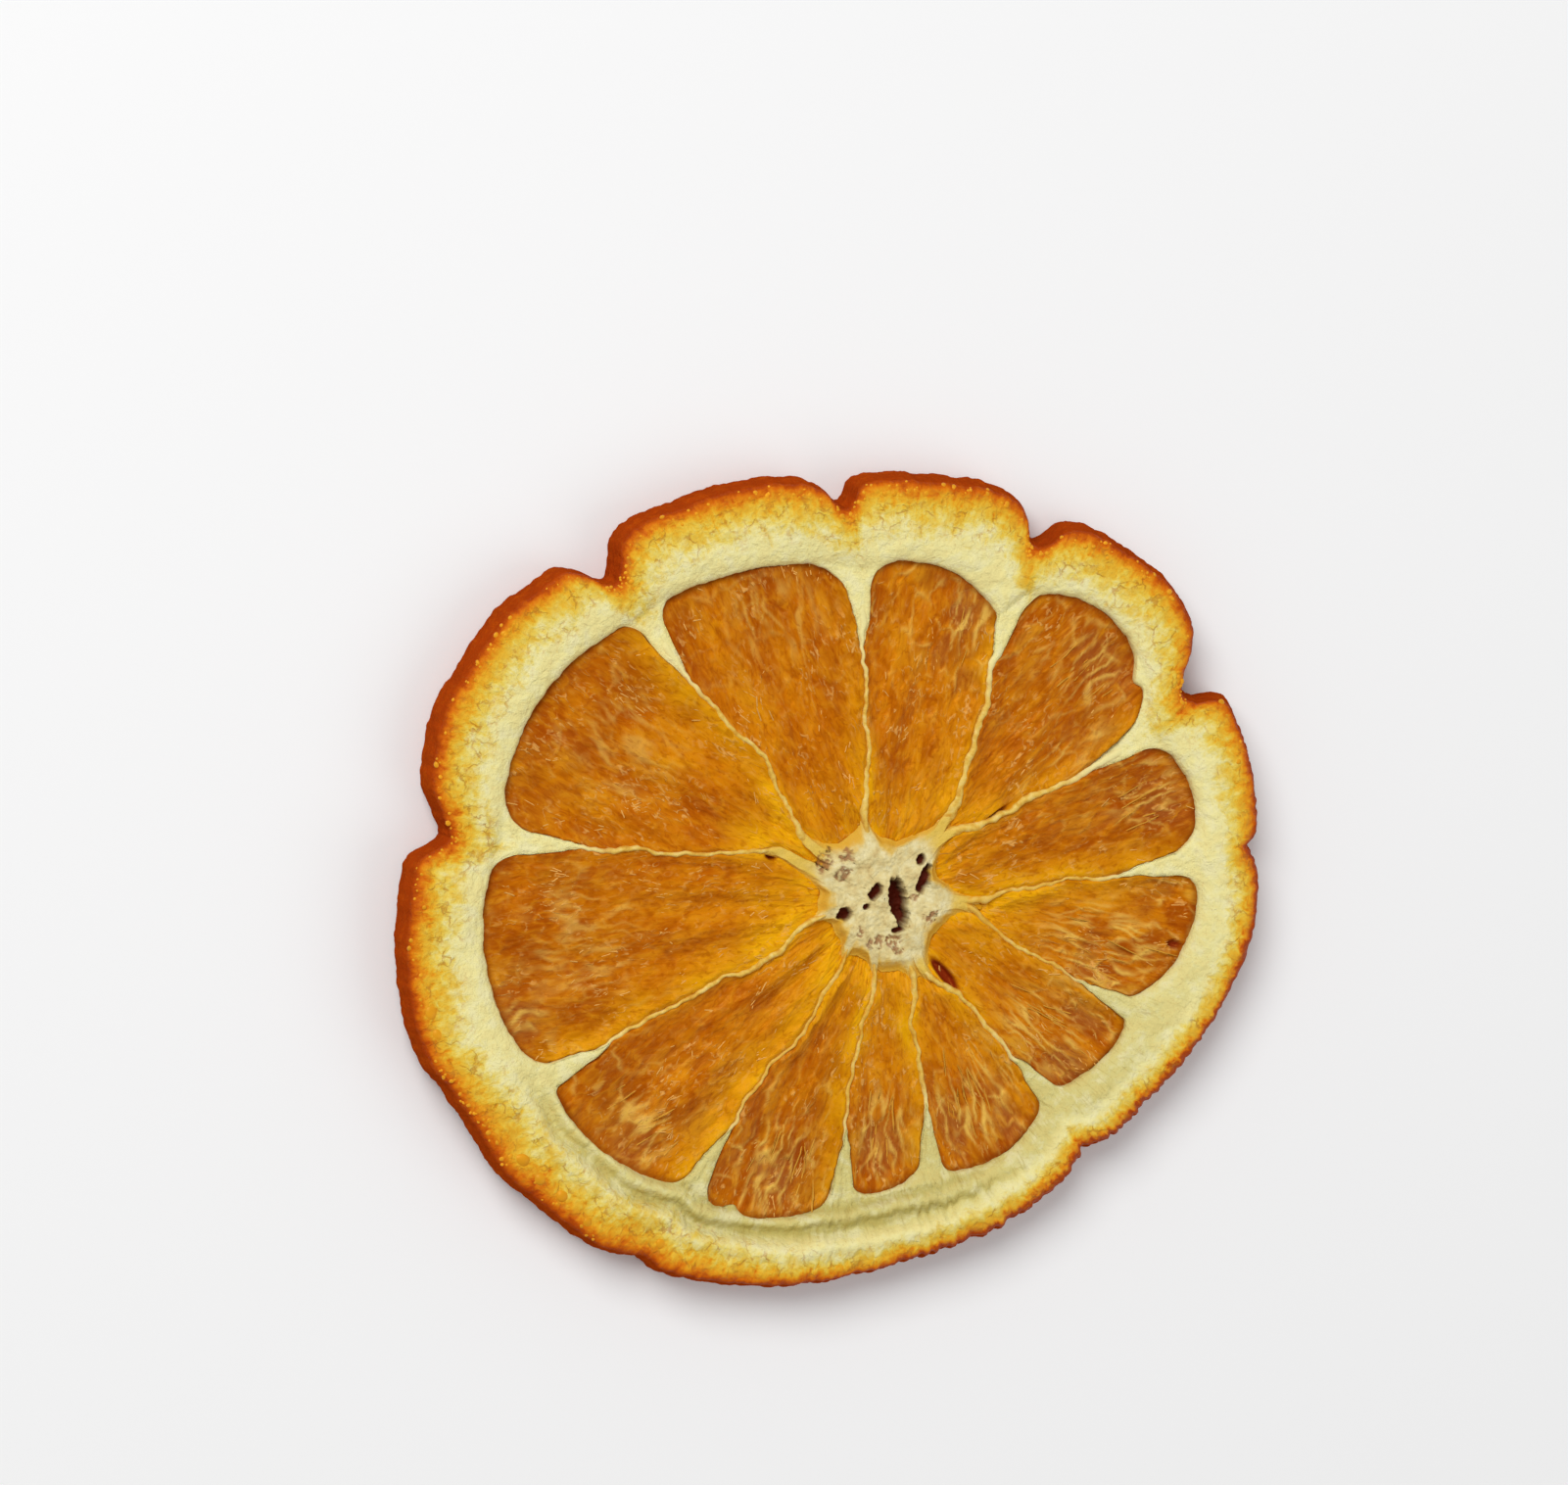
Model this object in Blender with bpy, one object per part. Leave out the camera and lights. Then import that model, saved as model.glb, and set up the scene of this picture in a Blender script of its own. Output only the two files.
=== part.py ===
"""A dried orange slice: one solid with its rind, twelve pulp segments, their membranes and the core.

The plan is drawn in millimetres round the core, with bearings in degrees anticlockwise from +X.
Heights are in millimetres above the surface that the slice lies on, and +Z leaves the shown face.
"""
import math
import random
from dataclasses import dataclass

import bmesh
import bpy

MM = 0.001
NODE_NAME = "orange_slice"

# Place of the core, which lies off the middle of the slice
CORE_X = 3.53
CORE_Y = -1.465

# Rind: bearing and radius of its top edge, and how far the foot of the peel stands out, most on the right
RIM = (
    (0.0, 30.8), (4.0, 30.6), (7.0, 30.1), (9.0, 30.9), (15.0, 31.5), (22.0, 31.8), (28.5, 31.8),
    (29.8, 30.9), (30.8, 29.7), (33.0, 29.1), (35.0, 29.8), (36.5, 30.7), (38.0, 31.8), (40.0, 32.8),
    (43.0, 33.4), (47.0, 33.8), (53.0, 33.6), (59.0, 33.4), (61.5, 33.0), (63.0, 32.2), (64.5, 30.9),
    (66.3, 30.4), (67.7, 30.9), (69.0, 32.2), (71.0, 33.0), (75.0, 33.4), (80.0, 33.2), (91.0, 33.0),
    (93.6, 32.6), (94.6, 31.5), (96.0, 31.0), (97.5, 31.6), (99.3, 32.7), (102.0, 33.5), (110.0, 34.5),
    (118.0, 35.1), (124.0, 35.7), (126.5, 35.3), (128.5, 34.1), (130.5, 33.3), (132.3, 33.9),
    (133.4, 35.4), (135.0, 36.6), (138.0, 37.1), (143.0, 37.9), (150.0, 38.1), (156.5, 38.4),
    (162.0, 37.9), (165.0, 37.4), (168.0, 36.1), (170.8, 35.3), (172.3, 35.9), (174.0, 37.4),
    (177.0, 38.0), (185.0, 38.5), (191.0, 38.7), (197.0, 38.5), (202.0, 37.5), (208.0, 37.0),
    (214.0, 36.9), (220.0, 36.1), (228.0, 35.3), (231.0, 34.8), (234.3, 33.8), (237.5, 33.9),
    (241.0, 33.5), (245.0, 32.8), (250.0, 32.1), (255.0, 31.3), (260.0, 30.5), (265.0, 29.8),
    (270.0, 29.2), (276.0, 28.5), (283.0, 28.1), (290.0, 27.9), (297.0, 27.5), (304.0, 27.0),
    (307.5, 26.3), (309.5, 26.0), (312.0, 26.6), (316.0, 27.1), (322.0, 27.3), (330.0, 28.1),
    (340.0, 29.1), (350.0, 30.3),
)
PEEL_FLARE = 0.5
PEEL_FLARE_LEAN = 0.3
RIM_OVERLAP = 2
PEEL_BULGE = 0.2
EDGE_ROUND = 0.35
SHOULDER_LEVEL = 0.6
BROW_DROP = 0.1
RIND_HEIGHT = 4.85
LIP_HEIGHT = 4.15

# Sag of the rind's inner share along the lower side, and the part of it that the pulp follows
SAG_BEARING = 268.0
SAG_REACH = 62.0
SAG_DEPTH = 0.7
SAG_INNER_SHARE = 0.6
PULP_SAG_SHARE = 0.5

# Dip of the rind's top where a dried membrane pulls the rim in
PUCKER_HALF_WIDTH = 3.1
PUCKER_DIP = 0.12

# Pulp and membranes, above and below
PULP_TOP = 3.15
PULP_BOTTOM = 1.35
PULP_RELIEF = 0.3
PULP_RELIEF_ACROSS = 4.2
PULP_RELIEF_ALONG = 9.0
PULP_STEP = 0.35
FIRM_RELIEF_SHARE = 0.5
HOLLOW_REACH = 1.6
MEMBRANE_TOP = 3.85
MEMBRANE_BOTTOM = 0.75
MEMBRANE_HALF_WIDTH = 0.38
MEMBRANE_SPUR_HALF_WIDTH = 0.85
MEMBRANE_SPUR_LENGTH = 5.0
MEMBRANE_FOOT_RISE = 0.2
MEMBRANE_POINT = 1.1
LIP_BOTTOM = 0.35

# Core: a pale sponge with one long pit
CORE_TOP = 3.95
CORE_BOTTOM = 0.6
WEB_TOP = 3.65
CORE_RADIUS = 4.0
CORE_RING = 3.3
PIT_X = 1.2
PIT_Y = -0.25
PIT_BEARING = 102.0
PIT_LENGTH = 4.0
PIT_WIDTH = 1.7
PIT_DEPTH = 1.9
PIT_FLOOR_SHARE = 0.72
PIT_FLOOR_DIP = 0.1

# Lift of the dried slice off the surface on two opposite sides
LIFT = 0.75
LIFT_BEARING = 22.0
LIFT_START = 0.15
LIFT_RADIUS = 34.0

# Radii at which a membrane's bearing is given, from the core to the rim
DRIFT_RADII = (6.0, 10.0, 15.0, 22.0, 29.0)
EVEN_RADIUS = 2.8
EVEN_START = 12.0
CORE_CORNER = 0.4

# Rows and columns of the mesh
COLUMN_ARCS_BY_MEMBRANE = (0.0, 1.0, 2.3)
MIDDLE_COLUMNS = 5
PULP_ROWS = (0.08, 0.2, 0.34, 0.48, 0.62, 0.76, 0.9)
PULP_ROWS_BELOW = (0.15, 0.4, 0.65, 0.88)
SOLE_ROWS = (0.7, 0.3)
RIND_ROWS = ((0.16, 0.62), (0.4, 0.94), (0.66, 1.0), (0.88, 0.84))
CORE_COLUMN_STEP = 3


@dataclass(frozen=True)
class Membrane:
    """A wall between two segments: bearings at the drift radii, and the ends where it widens."""

    bearings: tuple
    core_reach: float
    spur_tip: float
    pucker: float = 0.0


@dataclass(frozen=True)
class Segment:
    """Pulp after one membrane: its inner radius, and its outer arch with two rounded corners."""

    core_radius: float
    crown_start: float
    crown_end: float
    bulge: float
    corner_start: float
    corner_end: float


@dataclass(frozen=True)
class Hollow:
    """An open gap in the pulp beside a membrane."""

    bearing: float
    radius: float
    half_across: float
    half_along: float
    depth: float


MEMBRANES = (
    Membrane((-2.0, 2.5, 4.0, 5.0, 6.5), 9.0, 22.5, 0.6),
    Membrane((46.0, 36.5, 32.5, 30.4, 33.0), 10.0, 22.0, 2.7),
    Membrane((51.0, 53.5, 60.0, 64.7, 66.5), 10.5, 23.0, 2.9),
    Membrane((104.0, 97.3, 96.0, 94.5, 96.3), 7.5, 22.7, 2.3),
    Membrane((144.0, 138.5, 131.5, 132.4, 130.5), 10.5, 26.5, 3.0),
    Membrane((156.0, 156.5, 165.0, 168.5, 170.0), 12.3, 27.5, 2.6),
    Membrane((195.0, 205.5, 204.3, 205.3, 206.0), 6.5, 28.0),
    Membrane((236.0, 238.0, 235.5, 234.8, 236.0), 6.3, 25.0, 0.8),
    Membrane((263.0, 260.5, 260.0, 261.8, 262.0), 6.6, 21.8),
    Membrane((292.0, 283.5, 282.7, 280.5, 281.0), 8.0, 20.2),
    Membrane((300.0, 309.0, 309.5, 310.5, 310.0), 9.0, 19.5, 0.8),
    Membrane((355.0, 343.0, 338.0, 335.5, 335.0), 9.0, 20.8),
)

SEGMENTS = (
    Segment(4.9, 25.6, 25.2, 1.1, 0.25, 0.25),
    Segment(9.3, 25.6, 26.4, 2.7, 0.15, 0.12),
    Segment(4.7, 24.2, 26.0, 1.5, 0.1, 0.2),
    Segment(5.7, 26.6, 29.8, 0.1, 0.2, 0.12),
    Segment(9.3, 29.8, 31.2, 1.5, 0.06, 0.15),
    Segment(5.2, 31.3, 30.7, 1.3, 0.12, 0.15),
    Segment(4.6, 30.2, 27.3, 0.9, 0.07, 0.1),
    Segment(5.0, 27.4, 24.4, 1.0, 0.12, 0.1),
    Segment(5.8, 23.3, 21.7, 0.8, 0.15, 0.12),
    Segment(6.9, 22.5, 21.3, 1.0, 0.12, 0.12),
    Segment(5.2, 21.2, 22.8, 0.3, 0.12, 0.15),
    Segment(8.2, 22.0, 25.6, 1.5, 0.08, 0.15),
)

HOLLOWS = (
    Hollow(311.5, 7.9, 1.3, 2.2, 1.1),
    Hollow(34.8, 11.2, 0.7, 1.6, 0.6),
)


@dataclass(frozen=True)
class Finish:
    """Colour and surface of one material."""

    name: str
    colour: tuple
    roughness: float
    metallic: float = 0.0


PEEL = Finish("dried_peel", (0.36, 0.055, 0.012, 1.0), 0.55)
PITH = Finish("dried_pith", (0.76, 0.60, 0.24, 1.0), 0.75)
PULP = Finish("dried_pulp", (0.52, 0.14, 0.008, 1.0), 0.3)
MEMBRANE = Finish("dried_membrane", (0.80, 0.55, 0.18, 1.0), 0.5)
CORE = Finish("dried_core", (0.74, 0.63, 0.34, 1.0), 0.8)
FINISHES = (PEEL, PITH, PULP, MEMBRANE, CORE)


class Ripple:
    """Smooth uneven height between -1 and 1, summed from sine waves in seeded directions."""

    WAVES = 6
    STRETCH_RANGE = (0.7, 1.4)

    def __init__(self, seed, length_x, length_y):
        draw = random.Random(seed)
        self.waves = []
        for _ in range(self.WAVES):
            turn = draw.uniform(0.0, math.tau)
            stretch = draw.uniform(*self.STRETCH_RANGE)
            wave_x = math.tau * math.cos(turn) / (length_x * stretch)
            wave_y = math.tau * math.sin(turn) / (length_y * stretch)
            self.waves.append((wave_x, wave_y, draw.uniform(0.0, math.tau)))

    def at(self, x, y):
        """Height at a point."""
        total = sum(math.sin(wave_x * x + wave_y * y + start) for wave_x, wave_y, start in self.waves)
        return total / math.sqrt(2.0 * self.WAVES)


RIND_RIPPLE = Ripple(seed=11, length_x=9.0, length_y=9.0)
PULP_RIPPLE = Ripple(seed=23, length_x=PULP_RELIEF_ACROSS, length_y=PULP_RELIEF_ALONG)
CORE_RIPPLE = Ripple(seed=37, length_x=3.0, length_y=3.0)
RIND_RELIEF = 0.13
CORE_RELIEF = 0.2


def lerp(start, end, share):
    """Value a share of the way between two others."""
    return start + (end - start) * share


def smooth(share):
    """Ease from 0 to 1, held outside."""
    held = min(max(share, 0.0), 1.0)
    return held * held * (3.0 - 2.0 * held)


def spline(stations, values, place):
    """Smooth curve through values at rising stations, held flat outside them."""
    if place <= stations[0]:
        return values[0]
    if place >= stations[-1]:
        return values[-1]
    last = len(stations) - 1
    index = max(i for i in range(last) if stations[i] <= place)

    def slope(i):
        low = max(i - 1, 0)
        high = min(i + 1, last)
        return (values[high] - values[low]) / (stations[high] - stations[low])

    span = stations[index + 1] - stations[index]
    share = (place - stations[index]) / span
    square = share * share
    cube = square * share
    start_weight = 2.0 * cube - 3.0 * square + 1.0
    return (start_weight * values[index] + (1.0 - start_weight) * values[index + 1]
            + (cube - 2.0 * square + share) * span * slope(index)
            + (cube - square) * span * slope(index + 1))


def bearing_gap(bearing, other):
    """Signed difference of two bearings, between -180 and 180."""
    return (bearing - other + 180.0) % 360.0 - 180.0


def corner(share):
    """Round fillet that falls from 1 at the start to 0 where the share reaches 1."""
    if share >= 1.0:
        return 0.0
    return 1.0 - math.sqrt(max(0.0, 1.0 - (1.0 - share) ** 2))


def even_bearing(index):
    """Bearing of a membrane's column inside the core, where the columns are evenly spread."""
    return EVEN_START + 360.0 * index / len(MEMBRANES)


def membrane_bearing(index, radius):
    """Bearing of a membrane at a radius, rising by a full turn past the last one."""
    turns, number = divmod(index, len(MEMBRANES))
    stations = (EVEN_RADIUS,) + DRIFT_RADII
    values = (even_bearing(number),) + MEMBRANES[number].bearings
    return spline(stations, values, radius) + 360.0 * turns


def membrane_half_width(index, radius):
    """Half the width of a membrane, which grows into the spur of pith at its outer end."""
    spur_tip = MEMBRANES[index % len(MEMBRANES)].spur_tip
    share = smooth((radius - spur_tip + MEMBRANE_SPUR_LENGTH) / MEMBRANE_SPUR_LENGTH)
    return lerp(MEMBRANE_HALF_WIDTH, MEMBRANE_SPUR_HALF_WIDTH, share)


def rim_radius(bearing):
    """Radius of the rind's top edge, with its puckers."""
    before = tuple((station - 360.0, radius) for station, radius in RIM[-RIM_OVERLAP:])
    after = tuple((station + 360.0, radius) for station, radius in RIM[:RIM_OVERLAP])
    stations, radii = zip(*(before + RIM + after))
    return spline(stations, radii, bearing % 360.0)


def pucker_dip(bearing, radius):
    """Drop of the rind's top in line with a pucker."""
    dip = 0.0
    for membrane in MEMBRANES:
        arc = math.radians(bearing_gap(bearing, membrane.bearings[-1])) * radius
        dip += membrane.pucker * PUCKER_DIP * math.exp(-(arc / PUCKER_HALF_WIDTH) ** 2)
    return dip


def lift(x, y):
    """Height of the underside above the surface, nought on the two sides that touch it."""
    share = math.cos(2.0 * (math.atan2(y, x) - math.radians(LIFT_BEARING))) - LIFT_START
    return LIFT * max(share, 0.0) * (math.hypot(x, y) / LIFT_RADIUS) ** 2


class Column:
    """One line of points from the core to the rim, along a membrane or through a segment."""

    def __init__(self, index, share=None):
        self.index = index
        self.share = share
        self.on_membrane = share is None
        start = MEMBRANES[index]
        if self.on_membrane:
            self.core_radius = start.core_reach
            self.lip_radius = start.spur_tip
        else:
            end = MEMBRANES[(index + 1) % len(MEMBRANES)]
            segment = SEGMENTS[index]
            self.core_radius = self.arch(segment.core_radius, segment.core_radius, 0.0, share,
                                         (start.core_reach - MEMBRANE_POINT, CORE_CORNER),
                                         (end.core_reach - MEMBRANE_POINT, CORE_CORNER))
            self.lip_radius = self.arch(segment.crown_start, segment.crown_end, segment.bulge, share,
                                        (start.spur_tip + MEMBRANE_POINT, segment.corner_start),
                                        (end.spur_tip + MEMBRANE_POINT, segment.corner_end))
        rim_bearing = self.bearing(DRIFT_RADII[-1])
        self.top_radius = rim_radius(rim_bearing)
        self.foot_radius = self.top_radius + PEEL_FLARE + PEEL_FLARE_LEAN * math.cos(math.radians(rim_bearing))

    @staticmethod
    def arch(crown_start, crown_end, bulge, share, start_tip, end_tip):
        """Radius of an arch between two tips, each a radius and the share its corner takes."""
        crown = lerp(crown_start, crown_end, share) + bulge * 4.0 * share * (1.0 - share)
        start_drop = (crown_start - start_tip[0]) * corner(share / start_tip[1])
        end_drop = (crown_end - end_tip[0]) * corner((1.0 - share) / end_tip[1])
        return crown - start_drop - end_drop

    def bearing(self, radius):
        """Bearing of the column at a radius."""
        start = membrane_bearing(self.index, radius)
        if self.on_membrane:
            return start
        end = membrane_bearing(self.index + 1, radius)
        start += math.degrees(membrane_half_width(self.index, radius) / radius)
        end -= math.degrees(membrane_half_width(self.index + 1, radius) / radius)
        return lerp(start, end, self.share)

    def place(self, radius):
        """Point of the plan at a radius."""
        bearing = math.radians(self.bearing(radius))
        return CORE_X + radius * math.cos(bearing), CORE_Y + radius * math.sin(bearing)

    def pulp_radius(self, share):
        """Radius a share of the way from the core's edge to the rind's inner edge."""
        return lerp(self.core_radius + PULP_STEP, self.lip_radius - PULP_STEP, share)

    def rind_radius(self, share):
        """Radius a share of the way from the rind's inner edge to its top edge."""
        return lerp(self.lip_radius, self.top_radius, share)

    def at_foot(self):
        """Whether the column runs along the foot of a membrane."""
        return self.share in (0.0, 1.0)


def column_shares(index):
    """Shares of a segment's width: close together by its membranes, then evenly spread."""
    radius = DRIFT_RADII[-1]
    arc = math.radians(membrane_bearing(index + 1, radius) - membrane_bearing(index, radius)) * radius
    near = [distance / arc for distance in COLUMN_ARCS_BY_MEMBRANE]
    steps = MIDDLE_COLUMNS + 1
    middle = [lerp(near[-1], 1.0 - near[-1], step / steps) for step in range(1, steps)]
    return near + middle + [1.0 - share for share in reversed(near)]


def make_columns():
    """All the columns in order of bearing: each membrane, then the segment after it."""
    columns = []
    for index in range(len(MEMBRANES)):
        columns.append(Column(index))
        columns.extend(Column(index, share) for share in column_shares(index))
    return columns


def sag(bearing, share):
    """Drop of the rind's inner half on the lower side."""
    gap = abs(bearing_gap(bearing, SAG_BEARING))
    return SAG_DEPTH * smooth(1.0 - gap / SAG_REACH) * smooth(1.0 - share / SAG_INNER_SHARE)


def rind_height(column, radius, share, level):
    """Top of the rind, at a level between its inner lip and its crest."""
    x, y = column.place(radius)
    bearing = column.bearing(radius)
    relief = RIND_RELIEF * RIND_RIPPLE.at(x, y)
    return lerp(LIP_HEIGHT, RIND_HEIGHT, level) + relief - sag(bearing, share) - pucker_dip(bearing, radius)


def hollow_depth(bearing, radius):
    """Depth of the open gaps at a point of the pulp."""
    depth = 0.0
    for hollow in HOLLOWS:
        across = math.radians(bearing_gap(bearing, hollow.bearing)) * radius / hollow.half_across
        along = (radius - hollow.radius) / hollow.half_along
        depth += hollow.depth * smooth(HOLLOW_REACH - math.hypot(across, along))
    return depth


def pulp_relief(column, radius):
    """Wrinkles of the dried pulp, which run from the core to the rind."""
    arc = math.radians(column.bearing(radius)) * DRIFT_RADII[2]
    return PULP_RELIEF * PULP_RIPPLE.at(arc, radius)


def pulp_top(column, radius):
    """Top of the pulp, or of the membrane where the column follows one."""
    relief = pulp_relief(column, radius)
    sunk = PULP_SAG_SHARE * sag(column.bearing(radius), 0.0)
    if column.on_membrane:
        return MEMBRANE_TOP + FIRM_RELIEF_SHARE * relief - sunk
    rise = MEMBRANE_FOOT_RISE if column.at_foot() else 0.0
    drop = hollow_depth(column.bearing(radius), radius) + sunk
    return PULP_TOP + rise + relief - drop


def pulp_bottom(column, radius):
    """Underside of the pulp, or of the membrane where the column follows one."""
    if column.on_membrane:
        return MEMBRANE_BOTTOM
    return PULP_BOTTOM - FIRM_RELIEF_SHARE * pulp_relief(column, radius)


class SliceBuilder:
    """Lays rows of points from the core over the top, down the peel and back underneath."""

    def __init__(self):
        self.mesh = bmesh.new()
        self.columns = make_columns()
        self.core_columns = self.columns[::CORE_COLUMN_STEP]
        self.slots = {finish.name: number for number, finish in enumerate(FINISHES)}

    def vertex(self, x, y, height):
        """New point of the mesh, lifted with the slice."""
        return self.mesh.verts.new((x * MM, y * MM, (height + lift(x, y)) * MM))

    def row(self, columns, radius_of, height_of):
        """One closed row of points."""
        points = []
        for column in columns:
            radius = radius_of(column)
            x, y = column.place(radius)
            points.append(self.vertex(x, y, height_of(column, radius)))
        return points

    def face(self, points, finish):
        """One face with its finish."""
        face = self.mesh.faces.new(points)
        face.material_index = self.slots[finish.name]
        face.smooth = True

    def band(self, inner, outer, finish, membrane_finish=None):
        """Faces between two rows of the same length."""
        count = len(inner)
        for start in range(count):
            end = (start + 1) % count
            beside_membrane = self.columns[start].on_membrane or self.columns[end].on_membrane
            chosen = membrane_finish if membrane_finish and beside_membrane else finish
            self.face((inner[start], outer[start], outer[end], inner[end]), chosen)

    def step_band(self, few, many, finish, outward):
        """Faces between a row with few points and one with a whole number of times as many."""
        ratio = len(many) // len(few)
        for start, point in enumerate(few):
            following = few[(start + 1) % len(few)]
            first = start * ratio
            fan = [many[(first + i) % len(many)] for i in range(ratio + 1)]
            split = ratio // 2
            triangles = [(point, fan[i], fan[i + 1]) for i in range(split)]
            triangles.append((point, fan[split], following))
            triangles.extend((following, fan[i], fan[i + 1]) for i in range(split, ratio))
            for triangle in triangles:
                self.face(triangle if outward else triangle[::-1], finish)

    def fan(self, centre, ring, finish, upward):
        """Triangles from one point to a closed row."""
        for start, point in enumerate(ring):
            following = ring[(start + 1) % len(ring)]
            self.face((centre, point, following) if upward else (centre, following, point), finish)

    def pit_row(self, length, width, height):
        """Oval row of points round the pit of the core."""
        points = []
        axis = math.radians(PIT_BEARING)
        for column in self.core_columns:
            turn = math.radians(column.bearing(EVEN_RADIUS)) - axis
            along = 0.5 * length * math.cos(turn)
            across = 0.5 * width * math.sin(turn)
            x = CORE_X + PIT_X + along * math.cos(axis) - across * math.sin(axis)
            y = CORE_Y + PIT_Y + along * math.sin(axis) + across * math.cos(axis)
            points.append(self.vertex(x, y, height))
        return points

    def core_top(self):
        """Pit and sponge of the core, up to its outer row."""
        floor_height = CORE_TOP - PIT_DEPTH
        centre = self.vertex(CORE_X + PIT_X, CORE_Y + PIT_Y, floor_height - PIT_FLOOR_DIP)
        floor = self.pit_row(PIT_LENGTH * PIT_FLOOR_SHARE, PIT_WIDTH * PIT_FLOOR_SHARE, floor_height)
        mouth = self.pit_row(PIT_LENGTH, PIT_WIDTH, CORE_TOP)
        ring = self.row(self.core_columns, lambda column: CORE_RING, self.core_height)
        edge = self.row(self.columns, lambda column: CORE_RADIUS, self.core_height)
        self.fan(centre, floor, CORE, upward=True)
        self.step_band(floor, mouth, CORE, outward=True)
        self.step_band(mouth, ring, CORE, outward=True)
        self.step_band(ring, edge, CORE, outward=True)
        return edge

    @staticmethod
    def core_height(column, radius):
        """Uneven top of the core."""
        x, y = column.place(radius)
        return CORE_TOP + CORE_RELIEF * CORE_RIPPLE.at(x, y)

    def top(self, edge):
        """Web, pulp and rind of the shown face, from the core's outer row to the rind's top edge."""
        web = self.row(self.columns, lambda column: column.core_radius, lambda column, radius: WEB_TOP)
        self.band(edge, web, CORE)
        previous = web
        for share in (0.0,) + PULP_ROWS + (1.0,):
            row = self.row(self.columns, lambda column: column.pulp_radius(share), pulp_top)
            self.band(previous, row, PULP, MEMBRANE)
            previous = row
        lip = self.row(self.columns, lambda column: column.lip_radius,
                       lambda column, radius: rind_height(column, radius, 0.0, 0.0))
        self.band(previous, lip, PITH)
        previous = lip
        for share, level in RIND_ROWS:
            row = self.row(self.columns, lambda column: column.rind_radius(share),
                           lambda column, radius: rind_height(column, radius, share, level))
            self.band(previous, row, PITH)
            previous = row
        return previous

    def wall(self, previous):
        """Peel, from the rind's rounded top edge down to its foot."""
        edge_height = lerp(LIP_HEIGHT, RIND_HEIGHT, 0.5)
        shoulder = self.row(self.columns, lambda column: column.top_radius - EDGE_ROUND,
                            lambda column, radius: rind_height(column, radius, 1.0, SHOULDER_LEVEL))
        brow = self.row(self.columns, lambda column: column.top_radius,
                        lambda column, radius: rind_height(column, radius, 1.0, 0.0) - BROW_DROP)
        middle = self.row(self.columns,
                          lambda column: lerp(column.top_radius, column.foot_radius, 0.5) + PEEL_BULGE,
                          lambda column, radius: 0.5 * edge_height)
        foot = self.row(self.columns, lambda column: column.foot_radius, lambda column, radius: EDGE_ROUND)
        sole = self.row(self.columns, lambda column: column.foot_radius - EDGE_ROUND,
                        lambda column, radius: 0.0)
        rows = (previous, shoulder, brow, middle, foot, sole)
        for inner, outer in zip(rows, rows[1:]):
            self.band(inner, outer, PEEL)
        return sole

    def underside(self, previous):
        """Flat sole of the rind, then the pulp and core from below."""
        for share in SOLE_ROWS:
            row = self.row(self.columns, lambda column: column.rind_radius(share),
                           lambda column, radius: 0.0)
            self.band(previous, row, PITH)
            previous = row
        lip = self.row(self.columns, lambda column: column.lip_radius, lambda column, radius: LIP_BOTTOM)
        self.band(previous, lip, PITH)
        previous = lip
        for share in (1.0,) + PULP_ROWS_BELOW[::-1] + (0.0,):
            row = self.row(self.columns, lambda column: column.pulp_radius(share), pulp_bottom)
            self.band(previous, row, PULP, MEMBRANE)
            previous = row
        for radius_of in (lambda column: column.core_radius, lambda column: CORE_RADIUS):
            row = self.row(self.columns, radius_of, lambda column, radius: CORE_BOTTOM)
            self.band(previous, row, CORE)
            previous = row
        ring = self.row(self.core_columns, lambda column: CORE_RING, lambda column, radius: CORE_BOTTOM)
        centre = self.vertex(CORE_X, CORE_Y, CORE_BOTTOM)
        self.step_band(ring, previous, CORE, outward=False)
        self.fan(centre, ring, CORE, upward=False)

    def build(self):
        """The whole closed solid."""
        edge = self.core_top()
        crest = self.top(edge)
        sole = self.wall(crest)
        self.underside(sole)
        return self.mesh


def make_material(finish):
    """Principled material of one finish."""
    material = bpy.data.materials.new(finish.name)
    material.use_nodes = True
    shader = material.node_tree.nodes["Principled BSDF"]
    shader.inputs["Base Color"].default_value = finish.colour
    shader.inputs["Roughness"].default_value = finish.roughness
    shader.inputs["Metallic"].default_value = finish.metallic
    material.diffuse_color = finish.colour
    return material


def main():
    """Clear the scene and add the slice."""
    for existing in list(bpy.data.objects):
        bpy.data.objects.remove(existing)
    mesh = bpy.data.meshes.new(NODE_NAME)
    for finish in FINISHES:
        mesh.materials.append(make_material(finish))
    builder = SliceBuilder()
    builder.build().to_mesh(mesh)
    builder.mesh.free()
    orange_slice = bpy.data.objects.new(NODE_NAME, mesh)
    bpy.context.scene.collection.objects.link(orange_slice)


main()
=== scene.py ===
"""Dried orange slice: peel, pith, pulp segments, membranes, core and the small parts strewn over them.

The plan is drawn in millimetres round the core, with bearings in degrees anticlockwise from +X.
Heights are in millimetres above the surface that the slice lies on, and +Z leaves the shown face.
"""
import logging
import math
import random
from collections.abc import Callable
from dataclasses import dataclass, field
from enum import Enum

import bpy
import numpy as np
from mathutils import Matrix, Vector
from mathutils.kdtree import KDTree


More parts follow.
